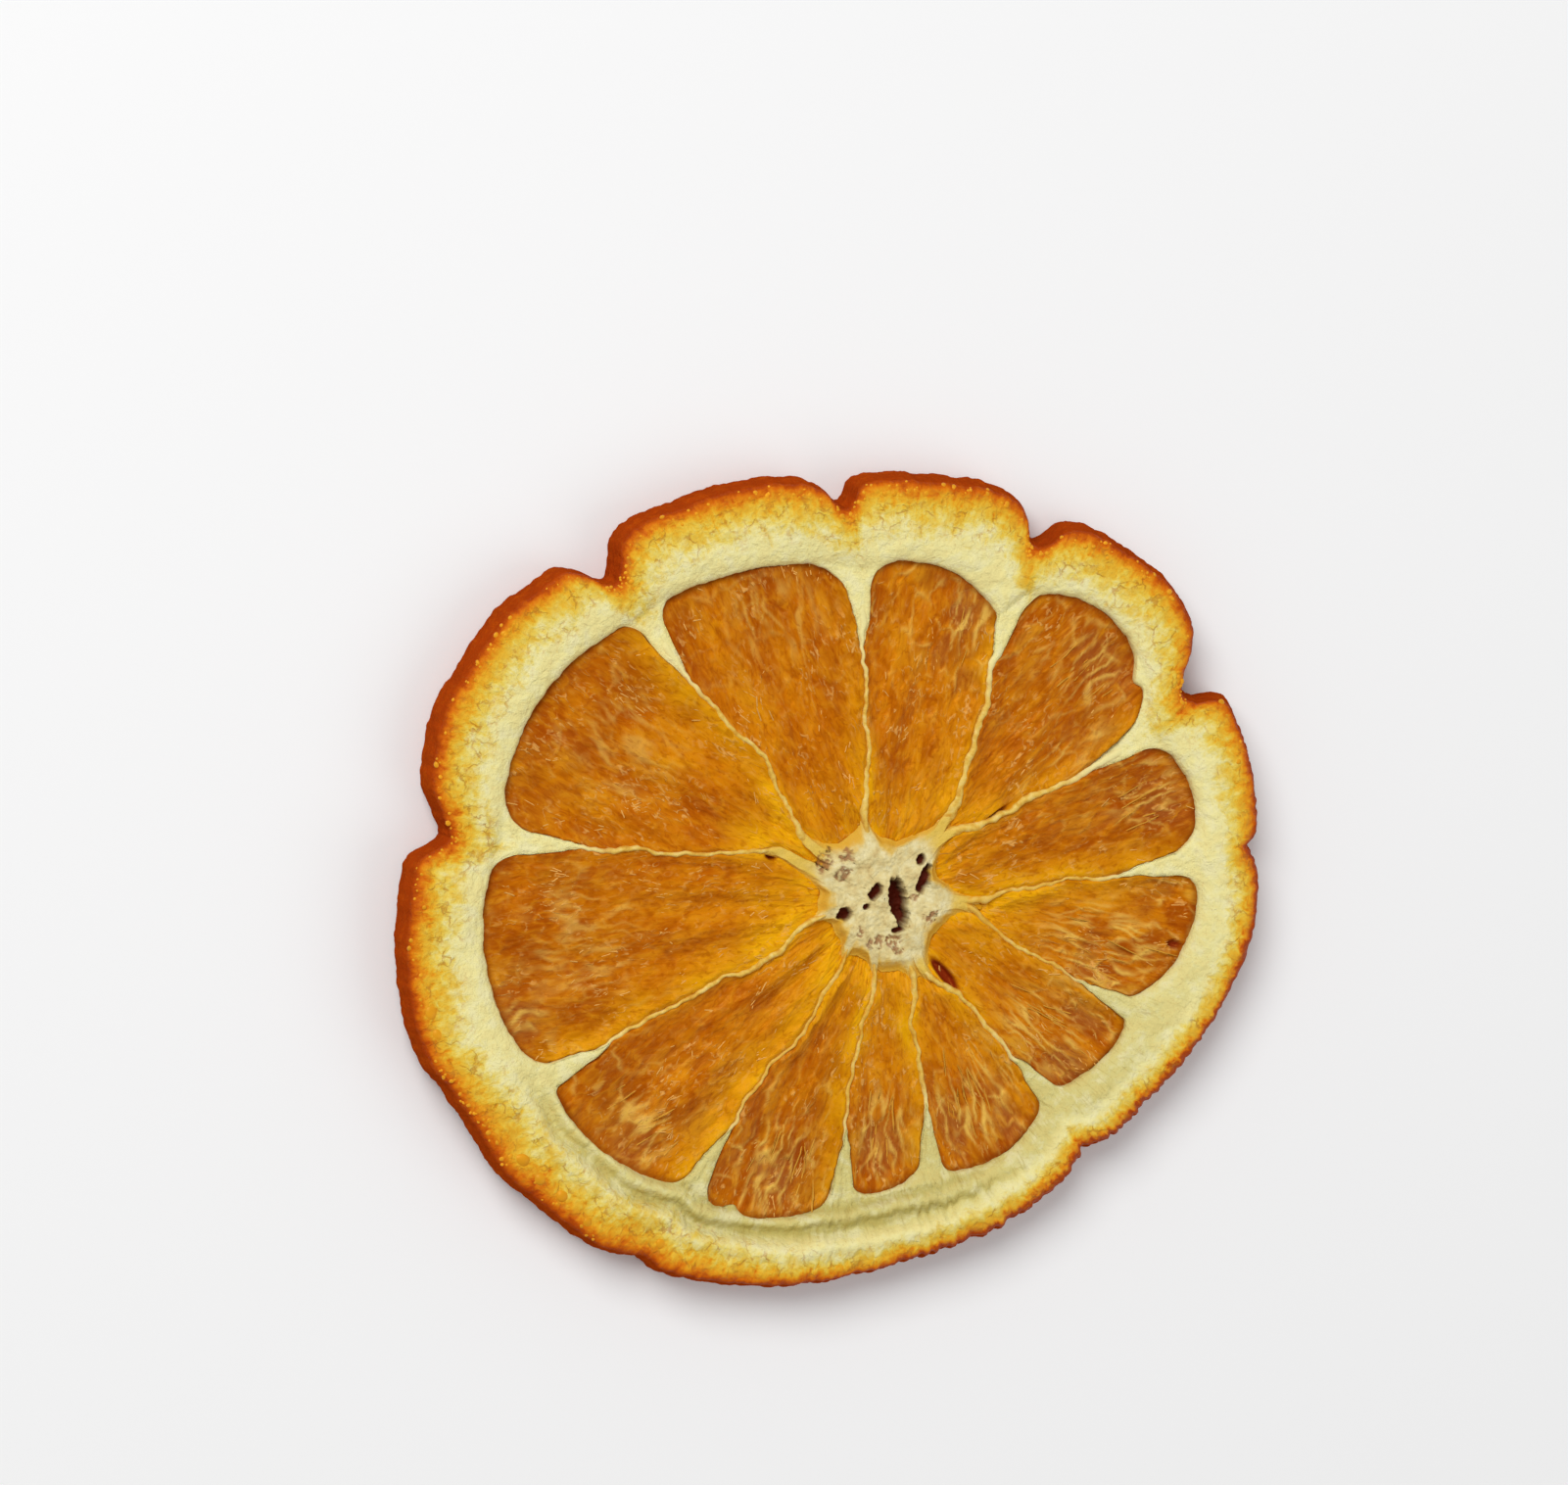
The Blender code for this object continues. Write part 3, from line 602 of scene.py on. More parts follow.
class Columns:
    """Lines from the core to the rim. An even whole part is a membrane's crest, an odd one its segment."""

    def __init__(self, plan: SlicePlan, marks: Grid) -> None:
        """Sort the marks by part.

        Args:
            plan: plan of the slice.
            marks: places round the core, two parts a segment.
        """
        self.plan = plan
        self.marks = marks
        part = np.floor(marks).astype(int)
        self.index = (part // 2) % plan.count
        self.crest = part % 2 == 0
        self.share = marks - part

    @classmethod
    def spread(cls, plan: SlicePlan, count: int, curves: tuple) -> "Columns":
        """Columns evenly spread along the mean length of some closed curves.

        Args:
            plan: plan of the slice.
            count: number of columns.
            curves: functions that give the radius of each column of a dense set.
        Returns:
            The chosen columns.
        """
        crest = np.linspace(0.0, 1.0, 40, endpoint=False)
        middle = 0.5 * (1.0 - np.cos(math.pi * np.linspace(0.0, 1.0, 400, endpoint=False)))
        marks = np.concatenate([np.concatenate((2.0 * i + crest, 2.0 * i + 1.0 + middle))
                                for i in range(plan.count)])
        dense = cls(plan, marks)
        step = np.zeros(len(marks))
        for curve in curves:
            radius = curve(dense)
            x, y = plan.place(dense.bearing(radius), radius)
            step += np.hypot(np.roll(x, -1) - x, np.roll(y, -1) - y)
        run = np.concatenate(([0.0], np.cumsum(step)))
        wanted = np.linspace(0.0, run[-1], count, endpoint=False)
        return cls(plan, np.interp(wanted, run, np.append(marks, 2.0 * plan.count)))

    def bearing(self, radius: Grid) -> Grid:
        """Bearing of each column at its radius.

        Args:
            radius: radius of each column.
        Returns:
            Bearings of the columns.
        """
        bearing = np.zeros(len(self.marks))
        for index in range(self.plan.count):
            mine = self.index == index
            here = radius[mine]
            start, end = self.plan.wall_bearings(index, here)
            reach_start = np.degrees(self.plan.half_width(index, here) / here)
            reach_end = np.degrees(self.plan.half_width(index + 1, here) / here)
            share = self.share[mine]
            inside = lerp(start + reach_start, end - reach_end, share)
            across = start + (2.0 * share - 1.0) * reach_start
            bearing[mine] = np.where(self.crest[mine], across, inside)
        return bearing

    def core_radius(self) -> Grid:
        """Radius at which the core's web ends on each column."""
        return self._edge(lambda s: (s.core_radius, s.core_radius, 0.0, CORE_CORNER, CORE_CORNER),
                          lambda m: (m.core_reach, m.core_reach - MEMBRANE_POINT))

    def lip_radius(self) -> Grid:
        """Radius of the rind's inner edge on each column."""
        return self._edge(lambda s: (s.crown_start, s.crown_end, s.bulge, s.corner_start, s.corner_end),
                          lambda m: (m.spur_tip - SPUR_WEDGE, m.spur_tip + MEMBRANE_POINT))

    def crown_radius(self) -> Grid:
        """Radius of the arches without corners or spurs, eased from one segment to the next.

        Returns:
            Radii of the columns.
        """
        radius = np.zeros(len(self.marks))
        for index in range(self.plan.count):
            segment, before = SEGMENTS[index], SEGMENTS[index - 1]
            mine = (self.index == index) & ~self.crest
            share = self.share[mine]
            radius[mine] = arch(segment.crown_start, segment.crown_end, segment.bulge, share)
            on_crest = (self.index == index) & self.crest
            radius[on_crest] = lerp(before.crown_end, segment.crown_start, smooth(self.share[on_crest]))
        return radius

    def _edge(self, arch_of: Callable, tip_of: Callable) -> Grid:
        """Radius of a row of arches that meet in points at the membranes.

        Args:
            arch_of: gives a segment's arch: ends, bulge and corners.
            tip_of: gives a membrane's tip and foot.
        Returns:
            Radii of the columns.
        """
        radius = np.zeros(len(self.marks))
        for index in range(self.plan.count):
            tip, foot = tip_of(MEMBRANES[index])
            end_foot = tip_of(MEMBRANES[(index + 1) % self.plan.count])[1]
            start, end, bulge, corner_start, corner_end = arch_of(SEGMENTS[index])
            mine = (self.index == index) & ~self.crest
            share = self.share[mine]
            radius[mine] = (arch(start, end, bulge, share) - (start - foot) * corner(share / corner_start)
                            - (end - end_foot) * corner((1.0 - share) / corner_end))
            on_crest = (self.index == index) & self.crest
            radius[on_crest] = lerp(tip, foot, np.abs(2.0 * self.share[on_crest] - 1.0) ** SPUR_CURVE)
        return radius


def surface_normals(points: Grid, ring: bool) -> Grid:
    """Unit normals of a grid of points whose columns close round.

    Args:
        points: grid of points.
        ring: whether the rows close too.
    Returns:
        Normals of the points.
    """
    around = np.roll(points, -1, 1) - np.roll(points, 1, 1)
    along = np.roll(points, -1, 0) - np.roll(points, 1, 0) if ring else np.gradient(points, axis=0)
    normal = np.cross(around, along)
    return normal / np.maximum(np.linalg.norm(normal, axis=2, keepdims=True), 1e-9)


def signed_volume(points: Grid, quads: Grid) -> float:
    """Volume inside quads, below nought if they face inward.

    Args:
        points: list of points.
        quads: point numbers of each quad.
    Returns:
        The volume.
    """
    a, b, c, d = (points[quads[:, k]] for k in range(4))
    one = np.einsum("ij,ij->i", a, np.cross(b, c))
    two = np.einsum("ij,ij->i", a, np.cross(c, d))
    return float((one + two).sum() / 6.0)


class Loft:
    """Closed mesh over a grid of points: its columns close round, its rows join or are capped."""

    def __init__(self, name: str, points: Grid, ring: bool = False) -> None:
        """Keep the grid.

        Args:
            name: name of the piece.
            points: grid of points.
            ring: whether the rows close too.
        """
        self.name = name
        self.rows, self.columns = points.shape[:2]
        self.points = points.reshape(-1, 3).copy()
        self.ring = ring

    def faces(self) -> tuple:
        """Quads of the side, and the point numbers of the two caps.

        Returns:
            The quads and the caps.
        """
        first = np.arange(self.rows if self.ring else self.rows - 1)[:, None]
        second = (first + 1) % self.rows
        column = np.arange(self.columns)[None, :]
        following = (column + 1) % self.columns
        quads = np.stack((first * self.columns + column, first * self.columns + following,
                          second * self.columns + following, second * self.columns + column), -1)
        quads = quads.reshape(-1, 4)
        start = np.arange(self.columns)[::-1]
        end = (self.rows - 1) * self.columns + np.arange(self.columns)
        if signed_volume(self.points, quads) < 0.0:
            quads, start, end = quads[:, ::-1], start[::-1], end[::-1]
        return quads, [] if self.ring else [start, end]

    def build(self, attributes: dict, material: Material) -> bpy.types.Object:
        """The finished object.

        Args:
            attributes: named values, one a point, or three a point.
            material: its finish.
        Returns:
            The object, linked to the scene.
        """
        quads, caps = self.faces()
        corners = np.concatenate([quads.ravel()] + caps).astype(np.int32)
        cap_starts = 4 * len(quads) + np.arange(len(caps)) * self.columns
        starts = np.concatenate((np.arange(len(quads)) * 4, cap_starts))
        mesh = bpy.data.meshes.new(self.name)
        mesh.vertices.add(len(self.points))
        mesh.vertices.foreach_set("co", (self.points * MM).astype(np.float32).ravel())
        mesh.loops.add(len(corners))
        mesh.loops.foreach_set("vertex_index", corners)
        mesh.polygons.add(len(starts))
        mesh.polygons.foreach_set("loop_start", starts.astype(np.int32))
        mesh.polygons.foreach_set("use_smooth", np.ones(len(starts), bool))
        mesh.update(calc_edges=True)
        for name, values in attributes.items():
            flat = np.ascontiguousarray(values, np.float32)
            vector = flat.size == self.points.size
            layer = mesh.attributes.new(name, "FLOAT_VECTOR" if vector else "FLOAT", "POINT")
            layer.data.foreach_set("vector" if vector else "value", flat.ravel())
        mesh.materials.append(material)
        made = bpy.data.objects.new(self.name, mesh)
        bpy.context.scene.collection.objects.link(made)
        return made


class Slot(Enum):
    """Material slots."""

    PULP = "dried_pulp"
    MEMBRANE = "dried_membrane"
    PITH = "dried_pith"
    PEEL = "dried_peel"
    CORE = "dried_core"


def declare(made: bpy.types.Object) -> None:
    """Args:
        made: the piece.
    """
    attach(made, BODY)
    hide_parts(NODE)
    triangles = sum(len(face.vertices) - 2 for face in made.data.polygons)
    LOG.info("%s: %d triangles", made.name, triangles)


def srgb(red: float, green: float, blue: float) -> tuple:
    """Linear colour of an 8-bit display colour.

    Args:
        red: red, 0 to 255.
        green: green.
        blue: blue.
    Returns:
        Red, green, blue and alpha.
    """
    def linear(part: float) -> float:
        """Linear part of an 8-bit one."""
        share = part / 255.0
        return share / 12.92 if share <= 0.04045 else ((share + 0.055) / 1.055) ** 2.4
    return linear(red), linear(green), linear(blue), 1.0


class Shader:
    """Node tree of one Principled material, built up step by step."""

    def __init__(self, name: str) -> None:
        """Start a material.

        Args:
            name: its name.
        """
        self.material = bpy.data.materials.new(name)
        self.material.use_nodes = True
        self.tree = self.material.node_tree
        self.surface = self.tree.nodes["Principled BSDF"]

    def node(self, kind: str, **settings) -> bpy.types.Node:
        """New node with its settings.

        Args:
            kind: type of node.
            settings: its settings.
        Returns:
            The node.
        """
        made = self.tree.nodes.new(kind)
        for name, value in settings.items():
            setattr(made, name, value)
        return made

    def feed(self, socket: Socket, value: Socket | float | tuple) -> None:
        """Link a socket, or set its constant.

        Args:
            socket: socket to feed.
            value: another socket, or a constant.
        """
        if isinstance(value, Socket):
            self.tree.links.new(value, socket)
        else:
            socket.default_value = value

    def set(self, **inputs) -> None:
        """Feed named inputs of the surface, with underscores for spaces."""
        for name, value in inputs.items():
            self.feed(self.surface.inputs[name.replace("_", " ")], value)

    def millimetres(self) -> Socket:
        """Object coordinates in millimetres."""
        return self.stretch(self.node("ShaderNodeTexCoord").outputs["Object"], (1000.0, 1000.0, 1000.0))

    def stretch(self, vector: Socket, factors: tuple) -> Socket:
        """A vector times one factor an axis.

        Args:
            vector: place to read.
            factors: factor along each axis.
        Returns:
            The new vector.
        """
        made = self.node("ShaderNodeVectorMath", operation="MULTIPLY")
        self.feed(made.inputs[0], vector)
        made.inputs[1].default_value = factors
        return made.outputs[0]

    def attribute(self, name: str, vector: bool = False) -> Socket:
        """A named value of the mesh."""
        made = self.node("ShaderNodeAttribute", attribute_name=name)
        return made.outputs["Vector" if vector else "Fac"]

    def drift(self, vector: Socket, scale: float, reach: float) -> Socket:
        """A vector pushed about by smooth noise.

        Args:
            vector: place to read.
            scale: cells a unit.
            reach: length of the push.
        Returns:
            The new vector.
        """
        noise = self.node("ShaderNodeTexNoise")
        self.feed(noise.inputs["Vector"], vector)
        noise.inputs["Scale"].default_value = scale
        pushed = self.node("ShaderNodeVectorMath", operation="MULTIPLY_ADD")
        self.feed(pushed.inputs[0], noise.outputs["Color"])
        pushed.inputs[1].default_value = (reach, reach, reach)
        self.feed(pushed.inputs[2], vector)
        return pushed.outputs[0]

    def noise(self, vector: Socket, scale: float, detail: float = 2.0, roughness: float = 0.5,
              warp: float = 0.0) -> Socket:
        """Smooth noise between 0 and 1.

        Args:
            vector: place to read.
            scale: cells a unit.
            detail: finer layers.
            roughness: their strength.
            warp: distortion.
        Returns:
            The noise.
        """
        made = self.node("ShaderNodeTexNoise")
        self.feed(made.inputs["Vector"], vector)
        for name, value in (("Scale", scale), ("Detail", detail), ("Roughness", roughness),
                            ("Distortion", warp)):
            made.inputs[name].default_value = value
        return made.outputs["Fac"]

    def cells(self, vector: Socket, scale: float) -> Socket:
        """Distance to the edges of irregular cells.

        Args:
            vector: place to read.
            scale: cells a unit.
        Returns:
            The distance.
        """
        made = self.node("ShaderNodeTexVoronoi", feature="DISTANCE_TO_EDGE")
        self.feed(made.inputs["Vector"], vector)
        made.inputs["Scale"].default_value = scale
        return made.outputs["Distance"]

    def times(self, first: Socket, second: Socket | float) -> Socket:
        """One value times another."""
        return self.math("MULTIPLY", first, second)

    def math(self, operation: str, first: Socket, second: Socket | float = 0.0) -> Socket:
        """One sum of two values.

        Args:
            operation: kind of sum.
            first: first value.
            second: second value.
        Returns:
            The result.
        """
        made = self.node("ShaderNodeMath", operation=operation)
        self.feed(made.inputs[0], first)
        self.feed(made.inputs[1], second)
        return made.outputs[0]

    def remap(self, value: Socket, low: float, high: float, to_low: float = 0.0,
              to_high: float = 1.0) -> Socket:
        """A value stretched from one range to another, held at its ends.

        Args:
            value: value to stretch.
            low: start of its range.
            high: end of its range.
            to_low: start of the new range.
            to_high: end of the new range.
        Returns:
            The new value.
        """
        made = self.node("ShaderNodeMapRange", clamp=True)
        self.feed(made.inputs["Value"], value)
        for name, number in (("From Min", low), ("From Max", high), ("To Min", to_low), ("To Max", to_high)):
            made.inputs[name].default_value = number
        return made.outputs["Result"]

    def ramp(self, value: Socket, stops: tuple) -> Socket:
        """Colour by value, from pairs of place and colour.

        Args:
            value: place on the ramp.
            stops: pairs of place and colour.
        Returns:
            The colour.
        """
        made = self.node("ShaderNodeValToRGB")
        elements = made.color_ramp.elements
        while len(elements) < len(stops):
            elements.new(1.0)
        for element, (place, colour) in zip(elements, stops):
            element.position = place
            element.color = colour
        self.feed(made.inputs["Fac"], value)
        return made.outputs["Color"]

    def mix(self, share: Socket | float, first: Socket | tuple, second: Socket | tuple,
            blend: str = "MIX") -> Socket:
        """Two colours mixed.

        Args:
            share: share of the second.
            first: first colour.
            second: second colour.
            blend: kind of mix.
        Returns:
            The colour.
        """
        made = self.node("ShaderNodeMix", data_type="RGBA", blend_type=blend, clamp_factor=True)
        self.feed(made.inputs["Factor"], share)
        self.feed(made.inputs[6], first)
        self.feed(made.inputs[7], second)
        return made.outputs[2]

    def bump(self, height: Socket, distance: float, strength: float = 1.0,
             under: Socket | None = None) -> Socket:
        """Normal turned by a height, in millimetres, over another normal if one is given.

        Args:
            height: height between 0 and 1.
            distance: its size in millimetres.
            strength: how much of it counts.
            under: normal below.
        Returns:
            The normal.
        """
        made = self.node("ShaderNodeBump")
        self.feed(made.inputs["Height"], height)
        made.inputs["Distance"].default_value = distance * MM
        made.inputs["Strength"].default_value = strength
        if under is not None:
            self.feed(made.inputs["Normal"], under)
        return made.outputs["Normal"]


@dataclass(frozen=True)
class PlainFinish:
    """Finish of a small part: one colour, a little uneven."""

    name: str
    colour: tuple
    roughness: float
    specular: float = 0.5
    tint: tuple = (1.0, 0.6, 0.2, 1.0)

    def make(self) -> Material:
        """Material of this finish.

        Returns:
            The material.
        """
        shader = Shader(self.name)
        tone = shader.remap(shader.noise(shader.millimetres(), 0.35, 3.0), 0.3, 0.7, 0.78, 1.12)
        grey = shader.node("ShaderNodeCombineColor")
        for number in range(3):
            shader.feed(grey.inputs[number], tone)
        shader.set(Base_Color=shader.mix(1.0, self.colour, grey.outputs[0], "MULTIPLY"),
                   Roughness=self.roughness, Specular_IOR_Level=self.specular, Specular_Tint=self.tint)
        return shader.material


@dataclass(frozen=True)
class RindFinish:
    """Peel and pith: coloured by depth below the skin, with cracks, mottling, and grey-green shade painted on
    the lower side.
    """

    name: str
    full_depth: float = 6.0
    layers: tuple = (
        (0.0, srgb(168, 62, 10)), (0.035, srgb(184, 76, 10)), (0.075, srgb(210, 104, 12)),
        (0.14, srgb(224, 138, 22)), (0.22, srgb(232, 172, 40)), (0.33, srgb(232, 196, 70)),
        (0.47, srgb(234, 212, 106)), (0.66, srgb(240, 230, 160)))
    # Grey-green painted shade on the lower side of the pith
    green_shade: tuple = srgb(198, 186, 110)
    golden: tuple = srgb(226, 172, 48)
    chalky: tuple = srgb(238, 232, 186)
    crack: tuple = srgb(184, 116, 38)
    # Painted shade in the crease valley on the lower side
    valley: tuple = srgb(170, 158, 86)
    thread: tuple = srgb(172, 150, 74)
    speck: tuple = srgb(178, 120, 50)
    dusk: tuple = srgb(132, 46, 12)
    tint: tuple = (1.0, 0.62, 0.2, 1.0)

    def make(self) -> Material:
        """Material of this finish.

        Returns:
            The material.
        """
        shader = Shader(self.name)
        where = shader.millimetres()
        depth = shader.attribute("depth")
        middle = shader.noise(where, 1.5, 3.0, 0.6, 0.8)
        fibre = shader.noise(shader.stretch(shader.attribute("skin", vector=True), (2.4, 0.5, 1.0)),
                             1.0, 3.0, 0.65, 0.4)
        level = self.level(shader, depth, middle, fibre)
        cracks = self.cracks(shader, depth)
        stained = self.stained(shader, depth, level)
        cracked = shader.mix(shader.times(cracks, 0.6), stained, self.crack)
        low = shader.bump(shader.math("SUBTRACT", middle, shader.times(cracks, 0.3)), 0.3, 0.55)
        shader.set(Base_Color=self.streaked(shader, depth, fibre, cracked),
                   Roughness=shader.remap(level, 0.3, 2.0, 0.42, 0.62),
                   Normal=shader.bump(shader.noise(where, 3.2, 3.0, 0.6), 0.14, 0.6, low),
                   Specular_IOR_Level=shader.remap(depth, 0.05, 0.7, 0.0, 0.25),
                   Specular_Tint=self.tint)
        return shader.material

    def level(self, shader: Shader, depth: Socket, middle: Socket, fibre: Socket) -> Socket:
        """Depth below the skin, made uneven by noise and by the rust on the lower right.

        Args:
            shader: shader that the colour belongs to.
            depth: depth below the peel.
            middle: noise of middle size.
            fibre: noise drawn out along the rim.
        Returns:
            The uneven depth.
        """
        coarse = shader.noise(shader.millimetres(), 0.5, 3.0, 0.6, 0.6)
        shift = shader.math("ADD", shader.remap(coarse, 0.25, 0.75, -0.8, 0.8),
                            shader.remap(middle, 0.25, 0.75, -0.75, 0.75))
        shift = shader.math("ADD", shift, shader.remap(fibre, 0.25, 0.75, -0.5, 0.5))
        eased = shader.times(shift, shader.remap(depth, 0.2, 2.0, 0.2, 1.1))
        rust = shader.times(shader.attribute("rust"), shader.remap(fibre, 0.3, 0.68, 0.2, 1.2))
        return shader.math("SUBTRACT", shader.math("ADD", depth, eased), rust)

    def stained(self, shader: Shader, depth: Socket, level: Socket) -> Socket:
        """Colour by depth, with grey-green shade painted on the lower side, and golden and chalky patches.

        Args:
            shader: shader that the colour belongs to.
            depth: depth below the peel.
            level: uneven depth.
        Returns:
            The colour.
        """
        body = shader.ramp(shader.math("DIVIDE", level, self.full_depth), self.layers)
        # Grey-green painted shade on the lower side of the pith
        shaded_green = shader.mix(shader.times(shader.attribute("green"), shader.remap(level, 1.2, 3.0, 0.0, 0.62)),
                           body, self.green_shade)
        patch = shader.noise(shader.millimetres(), 0.7, 4.0, 0.6, 0.3)
        gold = shader.times(shader.remap(patch, 0.48, 0.6), shader.remap(level, 1.2, 4.0, 0.7, 0.1))
        gilded = shader.mix(shader.times(gold, shader.remap(depth, 0.7, 1.6)), shaded_green, self.golden)
        chalk = shader.times(shader.remap(patch, 0.5, 0.36), shader.remap(level, 1.8, 3.8, 0.0, 0.5))
        return shader.mix(chalk, gilded, self.chalky)

    def cracks(self, shader: Shader, depth: Socket) -> Socket:
        """Share of the fine broken cracks in the band below the peel.

        Args:
            shader: shader that the colour belongs to.
            depth: depth below the peel.
        Returns:
            The share.
        """
        where = shader.millimetres()
        edges = shader.cells(shader.drift(shader.drift(where, 0.9, 1.5), 3.0, 0.4), 0.72)
        broken = shader.remap(shader.noise(where, 0.8, 3.0, 0.6), 0.47, 0.6)
        band = shader.times(shader.remap(depth, 0.4, 0.9), shader.remap(depth, 2.8, 5.0, 1.0, 0.0))
        return shader.times(shader.times(shader.remap(edges, 0.02, 0.075, 1.0, 0.0), broken), band)

    def streaked(self, shader: Shader, depth: Socket, fibre: Socket, under: Socket) -> Socket:
        """Colour with painted shade in the grey-green valley, darker threads within the painted shade, fine
        specks and dark blotches on the peel.

        Args:
            shader: shader that the colour belongs to.
            depth: depth below the peel.
            fibre: noise drawn out along the rim.
            under: colour below.
        Returns:
            The colour.
        """
        where = shader.millimetres()
        green = shader.attribute("green")
        # Painted shade in the crease valley, then darker threads within the painted shade
        sunk = shader.mix(shader.remap(green, 1.05, 1.45, 0.0, 0.5), under, self.valley)
        thread = shader.times(shader.remap(fibre, 0.54, 0.7, 0.0, 0.5), green)
        threaded = shader.mix(thread, sunk, self.thread)
        speck = shader.remap(shader.noise(where, 4.5, 2.0), 0.6, 0.72)
        specked = shader.mix(shader.times(speck, 0.2), threaded, self.speck)
        blotch = shader.remap(shader.noise(where, 0.8, 4.0, 0.65), 0.35, 0.7, 0.0, 0.45)
        return shader.mix(shader.times(blotch, shader.remap(depth, 0.05, 0.35, 1.0, 0.0)), specked, self.dusk)


@dataclass(frozen=True)
class PulpFinish:
    """Amber pulp: a golden glow of painted light on one side, darker arches, pale veins, and short strokes
    along the grain painted as glints and shade.
    """

    name: str = "pulp"
    patches: tuple = ((0.0, srgb(174, 80, 3)), (0.35, srgb(196, 104, 4)), (0.7, srgb(210, 122, 6)),
                      (1.0, srgb(222, 140, 9)))
    sacs: tuple = ((0.0, srgb(158, 90, 40)), (0.18, srgb(168, 90, 24)), (0.32, srgb(158, 68, 6)),
                   (0.55, srgb(198, 108, 8)), (0.8, srgb(214, 144, 24)), (1.0, srgb(224, 168, 52)))
    shade: tuple = srgb(156, 66, 5)
    window: tuple = srgb(158, 90, 42)
    # Golden painted light on the lit side, and the pulp's own yellow by the walls and core
    glow: tuple = srgb(236, 170, 10)
    light: tuple = srgb(224, 148, 24)
    deep: tuple = srgb(150, 62, 3)
    # Pale painted highlights along the streaks
    streak_highlight: tuple = srgb(216, 140, 30)
    # Dark painted shade along the streaks
    shadow: tuple = srgb(140, 56, 3)
    vein: tuple = srgb(234, 188, 86)
    # Dark painted shade in the furrows along the folds
    furrow_shade: tuple = srgb(150, 62, 4)
    # Pale painted glints on short pieces of the folds
    crease: tuple = srgb(234, 174, 92)
    # Painted shadow where the pulp meets the rind's inner edge
    edge: tuple = srgb(126, 52, 8)
    # Dark red painted shade in the pulp's small holes
    hollow_shade: tuple = srgb(138, 44, 14)
    roughness: float = 0.34
    specular: float = 0.3
    tint: tuple = (1.0, 0.42, 0.04, 1.0)

    def make(self) -> Material:
        """Material of this finish.

        Returns:
            The material.
        """
        shader = Shader(self.name)
        grain = shader.attribute("grain", vector=True)
        mottle = shader.noise(shader.stretch(grain, (1.15, 0.55, 1.0)), 1.0, 2.5, 0.5, 0.9)
        streaks = shader.noise(shader.stretch(grain, (3.0, 0.5, 1.0)), 1.0, 3.0, 0.6, 0.5)
        fold = self.folds(shader, grain)
        cuts = shader.noise(shader.stretch(grain, (1.4, 1.0, 1.0)), 1.4, 1.0, 0.5, 0.6)
        drifts = shader.remap(shader.noise(shader.millimetres(), 0.24, 3.0, 0.6), 0.48, 0.64, 0.12, 1.0)
        # Short pieces of the folds, painted as glints and bumped as ridges
        short = shader.times(shader.times(fold, shader.remap(cuts, 0.5, 0.6)), drifts)
        # Other pieces of the folds, painted as furrow shade
        furrow_shade = shader.times(fold, shader.remap(cuts, 0.47, 0.38))
        grained = self.grained(shader, self.body(shader, grain), mottle, streaks)
        veined = shader.mix(shader.times(shader.attribute("vein"), 0.9), grained, self.vein)
        furrow_shaded = shader.mix(shader.times(furrow_shade, 0.38), veined, self.furrow_shade)
        glinted = shader.mix(shader.times(short, 0.72), furrow_shaded, self.crease)
        # Painted shadow line along the rind's inner edge
        gap_shaded = shader.mix(shader.attribute("edge"), glinted, self.edge)
        # Painted shade in the small holes
        hollow_shaded = shader.mix(shader.attribute("hollow_shade"), gap_shaded, self.hollow_shade)
        ridges = shader.bump(short, 0.08, 0.7, shader.bump(mottle, 0.3, 0.5))
        shader.set(Base_Color=hollow_shaded, Roughness=self.roughness,
                   Normal=shader.bump(streaks, 0.12, 0.4, ridges),
                   Specular_IOR_Level=self.specular, Specular_Tint=self.tint)
        return shader.material

    def body(self, shader: Shader, grain: Socket) -> Socket:
        """Colour of patches and juice sacs, with the dark arch, the windows, and the golden glow: light
        painted on the lit side, and the pulp's own yellow by the walls and core.

        Args:
            shader: shader that the colour belongs to.
            grain: place along the grain.
        Returns:
            The colour.
        """
        patches = shader.noise(shader.stretch(grain, (0.3, 0.15, 1.0)), 1.0, 3.0, 0.5, 0.6)
        body = shader.ramp(shader.remap(patches, 0.28, 0.72), self.patches)
        toned = shader.ramp(shader.attribute("tone"), self.sacs)
        sacs = shader.mix(shader.times(shader.attribute("sac"), 0.9), body, toned)
        dark = shader.mix(shader.times(shader.attribute("shade"), 0.7), sacs, self.shade)
        window = shader.mix(shader.times(shader.attribute("window"), 0.85), dark, self.window)
        # Golden painted light on the lit side, with the pulp's own yellow by the walls and core
        return shader.mix(shader.attribute("glow"), window, self.glow)

    def grained(self, shader: Shader, under: Socket, mottle: Socket, streaks: Socket) -> Socket:
        """Colour with light and dark mottling, and streaks painted as pale highlights and dark shade; the
        dark mottling and painted shade are calmer on the lit side.

        Args:
            shader: shader that the colour belongs to.
            under: colour below.
            mottle: noise in short spots.
            streaks: noise in long streaks.
        Returns:
            The colour.
        """
        calm = shader.remap(shader.attribute("glow"), 0.0, 1.0, 1.0, 0.35)
        light = shader.mix(shader.remap(mottle, 0.5, 0.76, 0.0, 0.6), under, self.light)
        deep = shader.mix(shader.times(shader.remap(mottle, 0.5, 0.24, 0.0, 0.6), calm), light, self.deep)
        # Streaks painted as pale highlights and dark shade
        streaked = shader.mix(shader.remap(streaks, 0.5, 0.78, 0.0, 0.35), deep, self.streak_highlight)
        shadow = shader.times(shader.remap(streaks, 0.5, 0.2, 0.0, 0.4), calm)
        return shader.mix(shadow, streaked, self.shadow)

